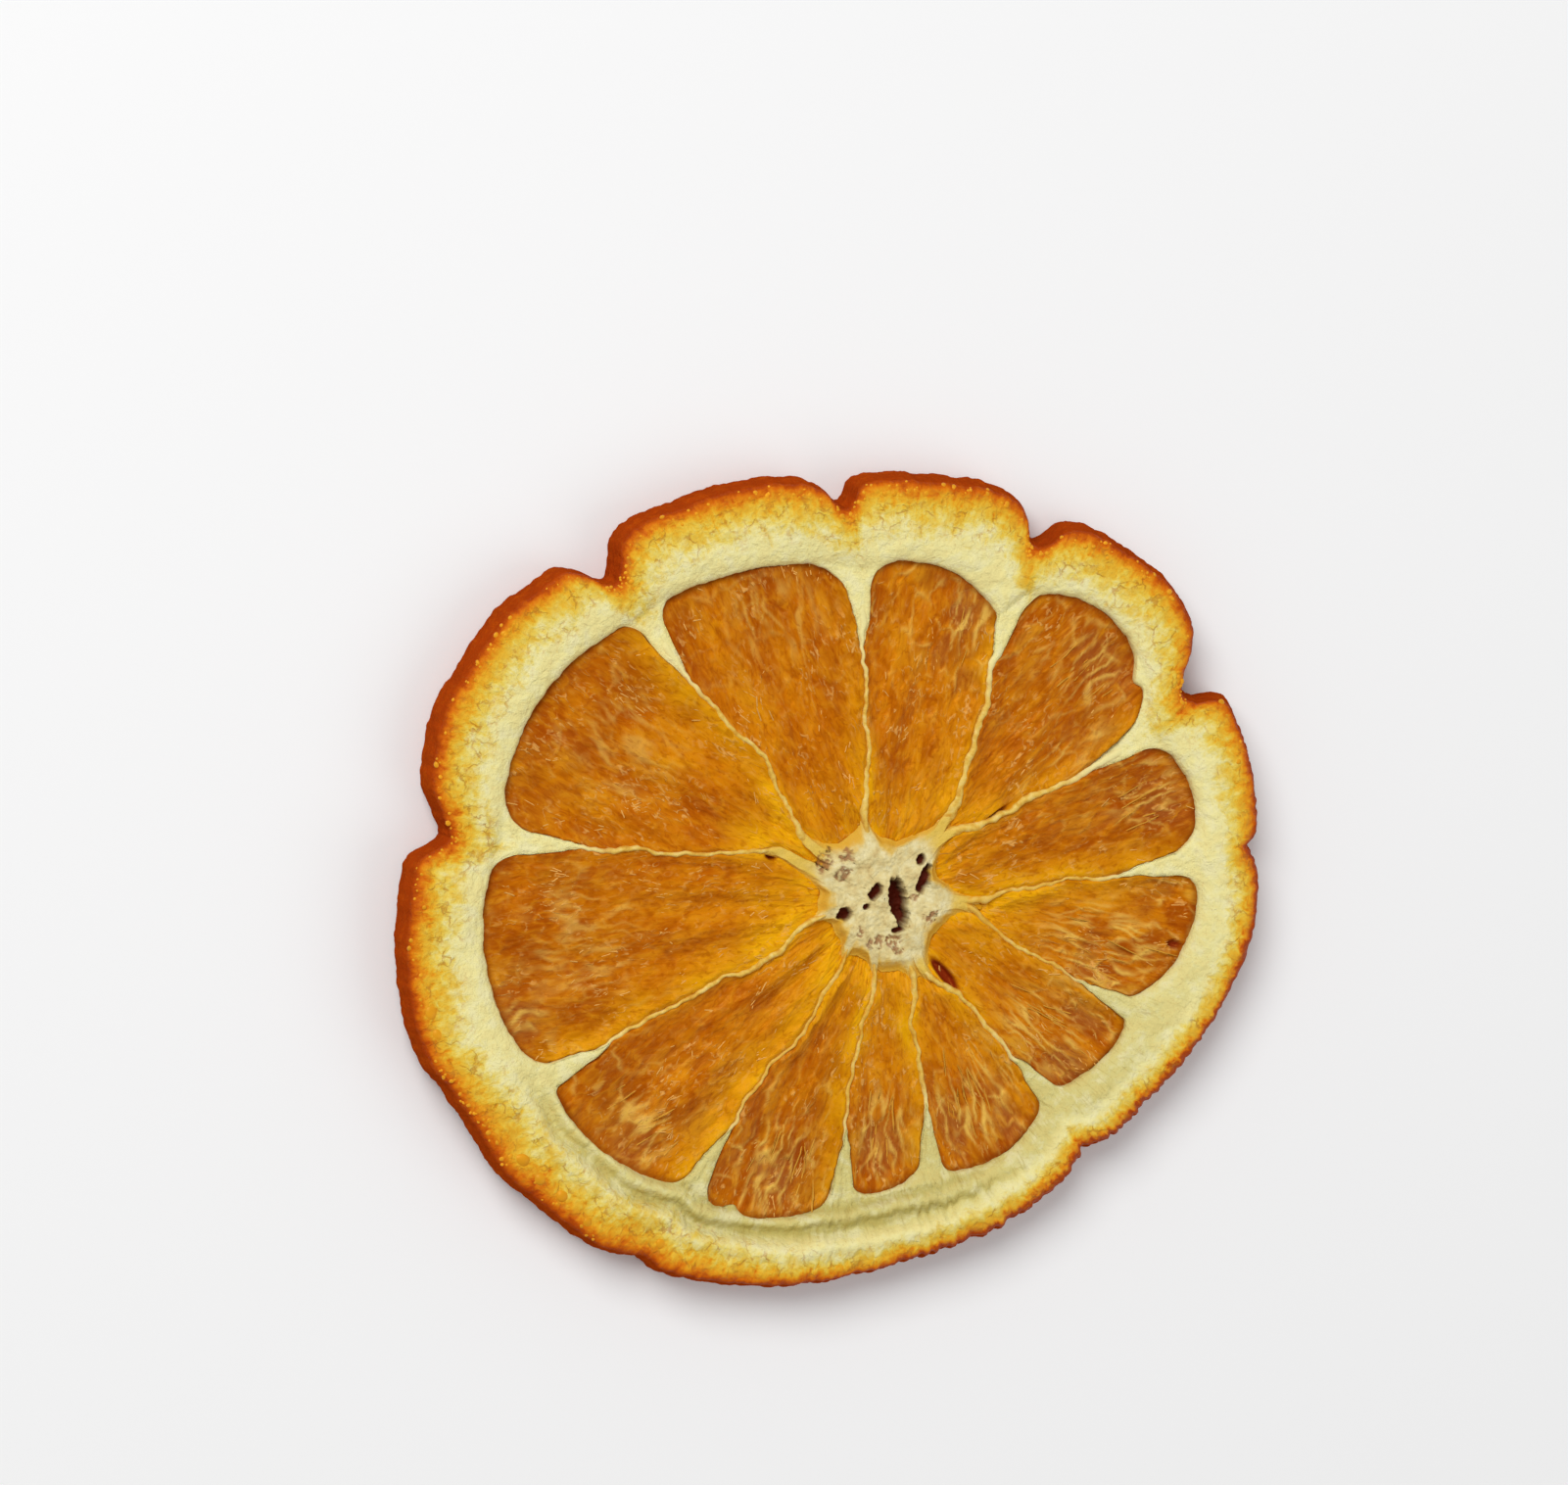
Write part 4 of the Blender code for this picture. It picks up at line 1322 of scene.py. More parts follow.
    def folds(self, shader: Shader, grain: Socket) -> Socket:
        """Share of the thin folds that run along the grain, which the finish paints as glints on some pieces
        and as shade on others.

        Args:
            shader: shader that the colour belongs to.
            grain: place along the grain.
        Returns:
            The share.
        """
        noise = shader.noise(shader.stretch(grain, (1.9, 0.75, 1.0)), 1.0, 1.0, 0.4, 1.0)
        away = shader.math("ABSOLUTE", shader.math("SUBTRACT", noise, 0.5))
        return shader.remap(away, 0.015, 0.085, 1.0, 0.0)


@dataclass(frozen=True)
class MembraneFinish:
    """Cream-yellow membrane that turns to pith at its outer end and to pulp where it is faint."""

    name: str = "membrane"
    body: tuple = ((0.0, srgb(208, 150, 48)), (0.5, srgb(228, 188, 84)), (1.0, srgb(236, 208, 126)))
    side: tuple = srgb(218, 154, 26)
    faint: tuple = srgb(214, 152, 26)
    pithy: tuple = srgb(238, 226, 158)
    roughness: float = 0.45
    specular: float = 0.4
    tint: tuple = (1.0, 0.8, 0.4, 1.0)

    def make(self) -> Material:
        """Material of this finish.

        Returns:
            The material.
        """
        shader = Shader(self.name)
        where = shader.millimetres()
        body = shader.ramp(shader.remap(shader.noise(where, 1.3, 3.0, 0.6), 0.3, 0.7), self.body)
        sided = shader.mix(shader.remap(shader.attribute("crest"), 0.0, 0.8, 1.0, 0.0), body, self.side)
        faint = shader.mix(shader.attribute("faint"), sided, self.faint)
        ended = shader.mix(shader.attribute("pithy"), faint, self.pithy)
        shader.set(Base_Color=ended, Roughness=self.roughness,
                   Normal=shader.bump(shader.noise(where, 4.0, 2.0), 0.1, 0.4),
                   Specular_IOR_Level=self.specular, Specular_Tint=self.tint)
        return shader.material


@dataclass(frozen=True)
class CoreFinish:
    """White sponge with a yellow rim, brown pores, and pits whose dark red is painted shade deep in them."""

    name: str = "core"
    body: tuple = ((0.0, srgb(208, 182, 122)), (0.5, srgb(226, 208, 148)), (1.0, srgb(238, 226, 178)))
    rim: tuple = srgb(228, 188, 66)
    amber: tuple = srgb(218, 156, 14)
    pore: tuple = srgb(150, 92, 56)
    # Dark red painted shade deep in the pits
    pit: tuple = srgb(94, 20, 7)
    roughness: float = 0.6
    specular: float = 0.25
    tint: tuple = (1.0, 0.8, 0.5, 1.0)

    def make(self) -> Material:
        """Material of this finish.

        Returns:
            The material.
        """
        shader = Shader(self.name)
        where = shader.millimetres()
        colour = shader.ramp(shader.remap(shader.noise(where, 1.2, 4.0, 0.65), 0.3, 0.7), self.body)
        for name, over in (("rim", self.rim), ("amber", self.amber), ("pore", self.pore), ("pit", self.pit)):
            colour = shader.mix(shader.attribute(name), colour, over)
        shader.set(Base_Color=colour, Roughness=self.roughness,
                   Normal=shader.bump(shader.noise(where, 3.5, 3.0, 0.65), 0.2, 0.6),
                   Specular_IOR_Level=self.specular, Specular_Tint=self.tint)
        return shader.material



@dataclass
class RindSkin:
    """Shared surface of peel and pith: plan, columns and heights."""

    plan: SlicePlan
    columns_count: int = 1400
    rim_fall: float = 0.9
    rim_drop: float = 0.65
    lip_fall: float = 0.4
    lip_drop: float = 0.35
    wall_top: float = 4.1
    wall_foot: float = 0.3
    spur_drop: float = 0.14
    crease_depth: float = 0.95
    crease_shoulder: float = 0.3
    band_most: float = 1.1
    band_least: float = 0.5
    grain_height: float = 0.16
    mottle_height: float = 0.08
    fine_height: float = 0.035
    fibre_height: float = 0.05
    crack_depth: float = 0.1
    run_radius: float = 32.0

    def __post_init__(self) -> None:
        """Work out the columns, both edges and the peel's flare."""
        self.noise = Lattice(71)
        self.columns = Columns.spread(self.plan, self.columns_count, (
            lambda columns: columns.lip_radius(),
            lambda columns: np.full(len(columns.marks), self.run_radius)))
        outer = np.full(self.columns_count, DRIFT_RADII[-1])
        self.bearing = self.columns.bearing(outer)
        lip = self.columns.lip_radius()
        x, y = self.plan.place(self.columns.bearing(lip), lip)
        for dip in LIP_DIPS:
            arc = np.radians(bearing_gap(self.bearing, dip.bearing)) * lip
            lip = lip - dip.strength * bell(arc, dip.half_across)
        wobble = 0.1 * self.noise.soft(x / 1.4, y / 1.4) + 0.05 * self.noise.soft(x / 0.4, y / 0.4)
        self.lip = lip + wobble * np.where(self.columns.crest, 0.2, 1.0)
        self.crown = self.columns.crown_radius()
        x, y = self.plan.place(self.columns.bearing(self.lip), self.lip)
        self.lip_tree = KDTree(len(x))
        for number, (lip_x, lip_y) in enumerate(zip(x, y)):
            self.lip_tree.insert((lip_x, lip_y, 0.0), number)
        self.lip_tree.balance()
        top = self.plan.rim_radius(self.bearing)
        self.flare = PEEL_FLARE + PEEL_FLARE_LEAN * np.cos(np.radians(self.bearing))
        x, y = self.plan.place(self.bearing, top)
        ragged = self.ragged(self.bearing)
        teeth = (0.1 + 0.2 * ragged) * self.noise.soft(x / 0.5, y / 0.5)
        self.top = top + 0.1 * self.noise.soft(x / 1.6, y / 1.6) + teeth

    @staticmethod
    def ragged(bearing: Grid) -> Grid:
        """Share of the torn edge, along the lower right side."""
        return smooth(1.3 - np.abs(bearing_gap(bearing, RAGGED_BEARING)) / 40.0)

    def share_in(self, radius: Grid) -> Grid:
        """Share of the way from the arches' crowns to the rim, nought along the spurs."""
        return np.clip((radius - self.crown) / (self.top - self.crown), 0.0, 1.0)

    def lip_distance(self, x: Grid, y: Grid) -> Grid:
        """Millimetres to the nearest point of the rind's inner edge."""
        return np.array([self.lip_tree.find((at_x, at_y, 0.0))[2] for at_x, at_y in zip(x, y)])

    def top_height(self, bearing: Grid, radius: Grid, x: Grid, y: Grid, from_lip: Grid) -> Grid:
        """Height of the shown side of the rind before its fine relief.

        Args:
            bearing: bearings, in degrees.
            radius: radii, in millimetres.
            x: places along X.
            y: places along Y.
            from_lip: millimetres to the rind's inner edge.
        Returns:
            Heights.
        """
        from_rim = self.top - radius
        share = self.share_in(radius)
        level = spline((0.0, 0.16, 0.4, 0.66, 0.88, 1.0), (0.0, 0.62, 0.94, 1.0, 0.9, 0.84), share)
        height = lerp(LIP_HEIGHT, RIND_HEIGHT, level) + RIND_RELIEF * RIND_RIPPLE.at(x, y)
        height -= self.spur_drop * smooth((self.crown - radius) / 3.0)
        height -= self.rim_drop * corner(from_rim / self.rim_fall)
        height -= self.lip_drop * corner(from_lip / self.lip_fall)
        place = from_rim - self.crease_inset(bearing) - 0.25 * self.noise.soft(x / 3.5, y / 3.5)
        fold = self.crease_depth * self.groove(bearing, place)
        fold = fold - self.crease_shoulder * self.crease(bearing) * bell(place + 1.2, 0.7)
        return height - fold - self.plan.sag(bearing, share) - self.plan.pucker_dip(bearing, radius)

    def groove(self, bearing: Grid, place: Grid) -> Grid:
        """Share of the crease and of the fainter fold within it, by millimetres inward of the crease."""
        return self.crease(bearing) * (bell(place, 0.6) + 0.4 * bell(place - 1.7, 0.35))

    def band_share(self) -> Grid:
        """Width of the coloured band under the peel, as a share of its greatest width.

        Returns:
            A share for each column.
        """
        gap = np.abs(bearing_gap(self.bearing, NARROW_BAND_BEARING))
        width = lerp(self.band_most, self.band_least, smooth((95.0 - gap) / 60.0))
        width = width + 0.22 * bell(bearing_gap(self.bearing, BROAD_BAND_BEARING), 20.0)
        return width * (1.0 + 0.12 * self.noise.soft(self.bearing / 9.0, 3.3))

    def rust(self) -> Grid:
        """Share of the dark ragged edge that stands in for the wall on the lower right."""
        return smooth(1.5 - np.abs(bearing_gap(self.bearing, RUST_BEARING)) / 45.0)

    def run(self, depth: Grid) -> Grid:
        """Place on the rind as millimetres round it and depth, for the finish's fibres."""
        return np.stack((np.radians(self.bearing) * self.run_radius, depth, np.zeros(len(depth))), -1)

    @staticmethod
    def crease(bearing: Grid) -> Grid:
        """Share of the crease that runs along the lower side."""
        turned = bearing % 360.0
        return smooth((turned - CREASE_START) / 14.0) * smooth((CREASE_END - turned) / 34.0)

    @staticmethod
    def crease_inset(bearing: Grid) -> Grid:
        """Millimetres from the rim to the crease."""
        return spline(CREASE_BEARINGS, CREASE_INSETS, bearing % 360.0)

    def relief(self, x: Grid, y: Grid, bearing: Grid, from_rim: Grid, from_lip: Grid) -> Grid:
        """Fine relief of the shown side: grains by the peel, mottled pith within.

        Args:
            x: places along X.
            y: places along Y.
            bearing: bearings, in degrees.
            from_rim: millimetres inward of the rim.
            from_lip: millimetres to the rind's inner edge.
        Returns:
            Heights to add.
        """
        near, _, tone = self.noise.cells(x / 0.62, y / 0.62)
        band = smooth(from_rim / 0.25) * smooth((1.9 - from_rim) / 0.9)
        grains = self.grain_height * band * (0.4 + tone) * (0.55 - near)
        mottle = smooth(from_rim - 1.0) * (self.mottle_height * self.noise.layered(x / 1.3, y / 1.3)
                                           + self.fine_height * self.noise.soft(x / 0.4, y / 0.4))
        radius = np.hypot(x - CORE_X, y - CORE_Y)
        fibre = self.noise.ridged(bearing / 0.9, radius / 2.2) * self.crease(bearing)
        cracks = self.crack_depth * self.noise.ridged(x / 2.0, y / 2.0)
        cracks = cracks * smooth(from_rim / 0.6) * smooth((3.4 - from_rim) / 1.2)
        return (grains + mottle - cracks + self.fibre_height * fibre) * smooth(from_lip / 0.5)

    def green(self, bearing: Grid, from_rim: Grid) -> Grid:
        """Share of the grey-green shade painted on the lower side of the pith, inward of the crease and
        deepest in the crease itself.

        Args:
            bearing: bearings, in degrees.
            from_rim: millimetres inward of the rim.
        Returns:
            A share for each column.
        """
        gap = np.abs(bearing_gap(bearing, PAINTED_SHADE_BEARING))
        inward = from_rim - self.crease_inset(bearing)
        within = smooth(1.5 - gap / 62.0) * smooth((inward + 0.6) / 1.1)
        return np.clip(within + 0.9 * self.groove(bearing, inward), 0.0, 1.5)

    def row(self, radius: Grid, height: Grid) -> Grid:
        """One row of points at a radius and height on each column.

        Args:
            radius: radii, in millimetres.
            height: heights.
        Returns:
            The points.
        """
        bearing = self.columns.bearing(radius)
        x, y = self.plan.place(bearing, radius)
        return np.stack((x, y, np.maximum(height, 0.0) + self.plan.lift(x, y)), -1)

    def top_row(self, radius: Grid) -> Grid:
        """One row of points on the shown side.

        Args:
            radius: radii, in millimetres.
        Returns:
            The points.
        """
        bearing = self.columns.bearing(radius)
        x, y = self.plan.place(bearing, radius)
        from_lip = self.lip_distance(x, y)
        height = self.top_height(bearing, radius, x, y, from_lip)
        height += self.relief(x, y, bearing, self.top - radius, from_lip)
        return np.stack((x, y, height + self.plan.lift(x, y)), -1)


@dataclass
class Pith:
    """White inner rind with its arches and spurs."""

    skin: RindSkin
    finish: Material
    top_rows: int = 50
    lip_rows: tuple = ((0.7, 1.15), (0.5, 1.6), (0.32, 2.1), (0.18, 2.6), (0.08, 3.05), (0.0, 3.4))
    sole_shares: tuple = (0.94, 0.75, 0.5, 0.25, 0.06)
    under_peel: float = 0.16
    wall_heights: tuple = (3.2, 1.6, 0.35)
    wall_inset: float = 0.35
    wall_depth: float = 0.3
    sole_height: float = 0.02
    sole_inset: float = 0.5

    def build(self) -> None:
        skin = self.skin
        rows = []
        depths = []
        painted_shades = []
        runs = []
        band = skin.band_share()

        def keep(points: Grid, radius: Grid, depth: Grid | None = None) -> None:
            """Keep a row of points with its depth, share of painted grey-green shade, and run.

            Args:
                points: the row.
                radius: its radii.
                depth: its depth below the peel, worked out from the radii if none is given.
            """
            rows.append(points)
            depths.append((skin.top - radius) / band if depth is None else depth)
            painted_shades.append(skin.green(skin.bearing, skin.top - radius))
            runs.append(skin.run(skin.top - radius))

        for inset, height in self.lip_rows:
            radius = skin.lip + inset
            drop = skin.plan.sag(skin.bearing, 0.0)
            keep(skin.row(radius, height - drop * (height / 4.0)), radius)
        outer = skin.top - self.under_peel
        for share in np.linspace(0.0, 1.0, self.top_rows):
            eased = lerp(share, 0.5 * (1.0 - math.cos(math.pi * share)), 0.5)
            radius = lerp(skin.lip, outer, eased)
            keep(skin.top_row(radius), radius)
        count = len(skin.top)
        for height in self.wall_heights:
            radius = skin.top - self.wall_inset + skin.flare * (1.0 - height / skin.wall_top)
            keep(skin.row(radius, np.full(count, height)), radius, np.full(count, self.wall_depth))
        foot = skin.top + skin.flare - self.sole_inset
        for share in self.sole_shares:
            radius = lerp(skin.lip + 0.3, foot, share)
            keep(skin.row(radius, np.full(count, self.sole_height)), radius, foot - radius)
        radius = skin.lip + 0.25
        keep(skin.row(radius, np.full(count, 0.5)), radius)
        made = Loft("pith", np.stack(rows), ring=True).build(
            {"depth": np.stack(depths), "green": np.stack(painted_shades), "skin": np.stack(runs),
             "rust": np.tile(skin.rust(), (len(rows), 1))}, self.finish)
        declare(made)


@dataclass
class Peel:
    """Dark outer skin: a thin closed ring over the rind's wall and top edge."""

    skin: RindSkin
    finish: Material
    top_insets: tuple = (0.34, 0.27, 0.2, 0.13, 0.07, 0.025)
    wall_rows: int = 26
    thickness: float = 0.32
    foot_rows: tuple = ((0.04, 0.12), (0.14, 0.02), (0.35, 0.0), (0.7, 0.0), (0.75, 0.3))
    inner_shares: tuple = (0.75, 0.5, 0.25)
    inner_gap: float = 0.25
    inner_height: float = 4.0
    tucked_drop: float = 0.12
    tucked_row: tuple = (0.36, 3.7)
    pore_size: float = 0.95
    pore_depth: float = 0.05
    wrinkle_height: float = 0.08
    wall_run_radius: float = 34.0
    noise: Lattice = field(default_factory=lambda: Lattice(131))

    def build(self) -> None:
        skin = self.skin
        count = len(skin.top)
        rows = [skin.top_row(skin.top - inset) for inset in self.top_insets]
        rows[0][:, 2] -= self.tucked_drop
        drop = skin.plan.pucker_dip(skin.bearing, skin.top)
        edge = skin.top_row(skin.top)
        start = edge[:, 2] - skin.plan.lift(edge[:, 0], edge[:, 1])
        for share in np.linspace(0.0, 1.0, self.wall_rows):
            radius = skin.top + skin.flare * share + arch(0.0, 0.0, PEEL_BULGE, share)
            height = lerp(start, skin.wall_foot, share) - drop * 0.2 * (1.0 - share) * share
            rows.append(skin.row(radius, height))
        foot = skin.top + skin.flare
        for inset, height in self.foot_rows:
            rows.append(skin.row(foot - inset, np.full(count, height)))
        for share in self.inner_shares:
            radius = skin.top + skin.flare * share + PEEL_BULGE - self.thickness - self.inner_gap
            rows.append(skin.row(radius, np.full(count, self.inner_height * (1.0 - share))))
        inset, height = self.tucked_row
        rows.append(skin.row(skin.top - inset, np.full(count, height) - drop))
        points = self.relieve(np.stack(rows))
        depth = np.zeros(points.shape[:2])
        runs = np.broadcast_to(skin.run(np.zeros(count)), points.shape).copy()
        for number, inset in enumerate(self.top_insets):
            depth[number] = inset / skin.band_share()
            runs[number, :, 1] = inset
        made = Loft("peel", points, ring=True).build(
            {"depth": depth, "green": np.zeros(points.shape[:2]), "skin": runs,
             "rust": np.tile(skin.rust(), (len(points), 1))}, self.finish)
        declare(made)

    def relieve(self, points: Grid) -> Grid:
        """Wrinkles and pores of the outer wall.

        Args:
            points: the peel's grid of points.
        Returns:
            The grid with its relief.
        """
        first = len(self.top_insets)
        wall = slice(first, first + self.wall_rows)
        normals = surface_normals(points, ring=True)
        outward = points - np.array((CORE_X, CORE_Y, 0.0))
        outward[..., 2] = 0.0
        flip = np.sign(np.einsum("ijk,ijk->ij", normals[wall], outward[wall]).mean())
        share = np.linspace(0.0, 1.0, self.wall_rows)[:, None]
        ease = smooth(share / 0.15) * smooth((1.0 - share) / 0.12)
        run = np.radians(self.skin.bearing)[None, :] * self.wall_run_radius
        z = points[wall][..., 2]
        near, _, tone = self.noise.cells(run / self.pore_size + 0.0 * z, z / self.pore_size)
        pores = -self.pore_depth * bell(near, 0.26) * (0.3 + tone)
        wrinkles = self.wrinkle_height * self.noise.layered(run / 2.0 + 0.0 * z, z / 3.0)
        points[wall] += (normals[wall] * flip) * (ease * (pores + wrinkles))[..., None]
        return points


@dataclass(frozen=True)
class PulpPoints:
    """Points on the pulp of one segment, with the bearings of its two membranes at each radius."""

    bearing: Grid
    radius: Grid
    start: Grid
    end: Grid

    @property
    def share(self) -> Grid:
        """Share of the way from the first membrane to the second."""
        return (self.bearing - self.start) / (self.end - self.start)

    @property
    def to_start(self) -> Grid:
        """Millimetres to the first membrane."""
        return np.radians(self.bearing - self.start) * self.radius

    @property
    def to_end(self) -> Grid:
        """Millimetres to the second membrane."""
        return np.radians(self.end - self.bearing) * self.radius

    @property
    def across(self) -> Grid:
        """Millimetres round the core at a middle radius, so that folds fan out along the segment."""
        return np.radians(self.bearing) * MIDDLE_RADIUS


@dataclass
class PulpField:
    """Surface of the pulp of one segment: heights and colour masks at any points."""

    plan: SlicePlan
    index: int
    under: bool = False
    lip_clearance: float = 0.42
    core_clearance: float = 0.1
    wall_clearance: float = 0.09
    wall_rise: float = 0.4
    arch_rise: float = 0.2
    lit_rise: float = 0.12
    under_wall_rise: float = 0.35
    wrinkle_depth: float = 0.08
    fine_depth: float = 0.04
    thread_height: float = 0.1
    window_depth: float = 0.3

    def __post_init__(self) -> None:
        """Find the segment, its membranes and its noise."""
        self.noise = Lattice(200 + 2 * self.index + int(self.under))
        self.segment = SEGMENTS[self.index]
        self.first = MEMBRANES[self.index]
        self.second = MEMBRANES[(self.index + 1) % self.plan.count]

    def at(self, bearing: Grid, radius: Grid) -> PulpPoints:
        """Points of this segment at some bearings and radii."""
        return PulpPoints(bearing, radius, *self.plan.wall_bearings(self.index, radius))

    def crown(self, share: Grid) -> Grid:
        """Radius of the outer arch without its corners, a share of the way across."""
        return arch(self.segment.crown_start, self.segment.crown_end, self.segment.bulge, share)

    def from_lip(self, at: PulpPoints) -> Grid:
        """Millimetres along the radius to the rind's inner edge, its corners and spurs counted.

        Args:
            at: points of the pulp.
        Returns:
            Distances, below nought under the rind.
        """
        half_start = self.plan.half_width(self.index, at.radius)
        half_end = self.plan.half_width(self.index + 1, at.radius)
        room = np.maximum(at.to_start + at.to_end - half_start - half_end, LEAST_ROOM)
        share = (at.to_start - half_start) / room
        held = np.clip(share, 0.0, 1.0)
        foot = self.first.spur_tip + MEMBRANE_POINT
        end_foot = self.second.spur_tip + MEMBRANE_POINT
        cut = self.segment
        edge = (self.crown(held) - (cut.crown_start - foot) * corner(held / cut.corner_start)
                - (cut.crown_end - end_foot) * corner((1.0 - held) / cut.corner_end))
        at_start = spur_edge(self.first.spur_tip, at.to_start / half_start)
        at_end = spur_edge(self.second.spur_tip, at.to_end / half_end)
        return np.where(share < 0.0, at_start, np.where(share > 1.0, at_end, edge)) - at.radius

    def from_core(self, at: PulpPoints) -> Grid:
        """Millimetres along the radius from the edge of the core's web.

        Args:
            at: points of the pulp.
        Returns:
            Distances, below nought under the web.
        """
        inner = self.segment.core_radius
        share = np.clip(at.share, 0.0, 1.0)
        start = self.first.core_reach - MEMBRANE_POINT
        end = self.second.core_reach - MEMBRANE_POINT
        return at.radius - (inner + (start - inner) * corner(share / CORE_CORNER)
                            + (end - inner) * corner((1.0 - share) / CORE_CORNER))

    def ceiling(self, at: PulpPoints) -> Grid:
        """Greatest height that leaves the rind's edge and the membranes standing proud.

        Args:
            at: points of the pulp.
        Returns:
            Heights.
        """
        away = self.from_lip(at)
        lip = LIP_HEIGHT - self.lip_clearance - self.plan.bed_sag(at.bearing, at.radius)
        highest = lip + 0.8 * np.maximum(away, 0.0) + 1.8 * np.clip(away, -0.6, 0.0)
        beside = self.from_core(at)
        core = CORE_EDGE_TOP - self.core_clearance
        core = core + 0.3 * np.maximum(beside, 0.0) + 1.8 * np.clip(beside, -1.2, 0.0)
        highest = np.minimum(highest, core)
        for number, to_wall in ((self.index, at.to_start), (self.index + 1, at.to_end)):
            wall = self.plan.membrane_height(number, at.radius) - self.wall_clearance
            gap = to_wall - 0.8 * self.plan.wall_half_width(number, at.radius)
            highest = np.minimum(highest, wall + 0.7 * np.maximum(gap, 0.0) + 1.5 * np.clip(gap, -0.4, 0.0))
        return highest

    def vesicles(self, at: PulpPoints) -> tuple:
        """Long juice sacs.

        Args:
            at: points of the pulp.
        Returns:
            Thin crests between the sacs, distance to each sac's middle, and its tone.
        """
        across, radius, soft = at.across, at.radius, self.noise.soft
        bend = 0.55 * self.noise.layered(across / 3.0, radius / 5.0, 2) + 0.14 * soft(across / 0.5, radius)
        shift = 1.6 * soft(across / 2.2 + 40.0, radius / 6.0) + 0.4 * soft(across / 0.6, radius)
        near, next_near, tone = self.noise.cells((across + bend) / 1.1, (radius + shift) / 3.6)
        broken = smooth(0.45 + 1.1 * soft(across / 0.9 + 60.0, radius / 1.5))
        return bell(next_near - near, 0.05 + 0.05 * broken) * broken, near, tone

    def vein_strength(self, at: PulpPoints) -> Grid:
        """How clearly the sacs stand out: most near the outer arch.

        Args:
            at: points of the pulp.
        Returns:
            Strengths.
        """
        outer = smooth((at.radius / self.crown(at.share) - 0.45) / 0.4)
        patchy = smooth(0.65 + 0.9 * self.noise.soft(np.radians(at.bearing) * 4.0, at.radius / 5.5))
        return self.segment.vein * lerp(0.3, 1.0, outer) * lerp(0.35, 1.0, patchy)

    def threads(self, at: PulpPoints) -> Grid:
        """Share of the thin pale strands that run out to the arches in fans.

        Args:
            at: points of the pulp.
        Returns:
            Shares.
        """
        across, radius, soft = at.across, at.radius, self.noise.soft
        sway = 0.5 * soft(across / 1.6 + 70.0, radius / 3.2) + 0.1 * soft(across, radius / 0.9)
        line = self.noise.ridged((across + sway) / 0.62, radius / 6.5, 1)
        broken = smooth(0.75 + 1.2 * soft(across / 0.8 + 90.0, radius / 2.4))
        return np.clip((line - 0.32) / 0.45, 0.0, 1.0) * np.clip(covered(FANS, at), 0.0, 1.0) * broken

    def top(self, at: PulpPoints) -> Grid:
        """Height of the shown side.

        Args:
            at: points of the pulp.
        Returns:
            Heights.
        """
        across, radius = at.across, at.radius
        base = PULP_TOP + PULP_RELIEF * PULP_RIPPLE.at(across, radius) - self.plan.bed_sag(at.bearing, radius)
        by_wall = self.wall_rise * bell(at.to_start, 1.0) + self.wall_rise * bell(at.to_end, 1.0)
        by_wall = by_wall + self.arch_rise * smooth((radius - self.crown(at.share) + 1.6) / 1.6)
        lit = self.glow_side(at, 1.6) * self.lit_rise
        crest, near, tone = self.vesicles(at)
        sacs = self.vein_strength(at) * (0.2 * crest + 0.3 * (0.45 - near) + 0.3 * (tone - 0.5))
        warped = across / 0.5 + 0.6 * self.noise.soft(across, radius)
        wrinkles = self.wrinkle_depth * self.noise.layered(warped, radius / 1.6, 3)
        fine = self.fine_depth * self.noise.ridged(across / 0.35 + 7.0, radius / 1.1)
        height = np.minimum(base + by_wall + lit + sacs, self.ceiling(at))
        return (height + wrinkles + fine + self.thread_height * self.threads(at) - covered(HOLLOWS, at)
                - self.window_depth * covered(WINDOWS, at))

    def bottom(self, at: PulpPoints) -> Grid:
        """Height of the underside.

        Args:
            at: points of the pulp.
        Returns:
            Heights.
        """
        across, radius = at.across, at.radius
        base = PULP_BOTTOM - 0.5 * PULP_RELIEF * PULP_RIPPLE.at(across, radius)
        by_wall = self.under_wall_rise * bell(at.to_start, 0.9) + self.under_wall_rise * bell(at.to_end, 0.9)
        crest, near, tone = self.vesicles(at)
        sacs = self.vein_strength(at) * (0.2 * crest + 0.15 * (0.5 - near) + 0.12 * (tone - 0.5))
        return base - by_wall - sacs - 0.05 * self.noise.layered(across / 0.5, radius / 2.0, 2)

    def glow_side(self, at: PulpPoints, width: float) -> Grid:
        """Share of the side by one wall that is painted as lit through, by the width of the glow."""
        return bell(np.maximum(at.to_start if self.index < GLOW_BY_START else at.to_end, 0.0), width)

    def glow(self, at: PulpPoints) -> Grid:
        """Share of the golden glow: light painted on the lit side by one wall, and the pulp's own yellow
        beside the walls and round the core.

        Args:
            at: points of the pulp.
        Returns:
            Shares.
        """
        segment = self.segment
        side = segment.glow * self.glow_side(at, segment.glow_width)
        border = np.maximum(bell(at.to_start - 0.2, 0.5), bell(at.to_end - 0.2, 0.5))
        side = np.maximum(side, 0.75 * border * smooth((17.0 - at.radius) / 9.0))
        inner = segment.inner_glow * smooth((segment.core_radius + 9.5 - at.radius) / 8.0)
        inner = inner + 0.8 * segment.inner_glow * bell(self.from_core(at), 1.2)
        uneven = 0.75 + 0.5 * self.noise.layered(at.across / 2.6 + 11.0, at.radius / 4.2, 2)
        return np.clip((side + inner) * uneven, 0.0, 1.0)

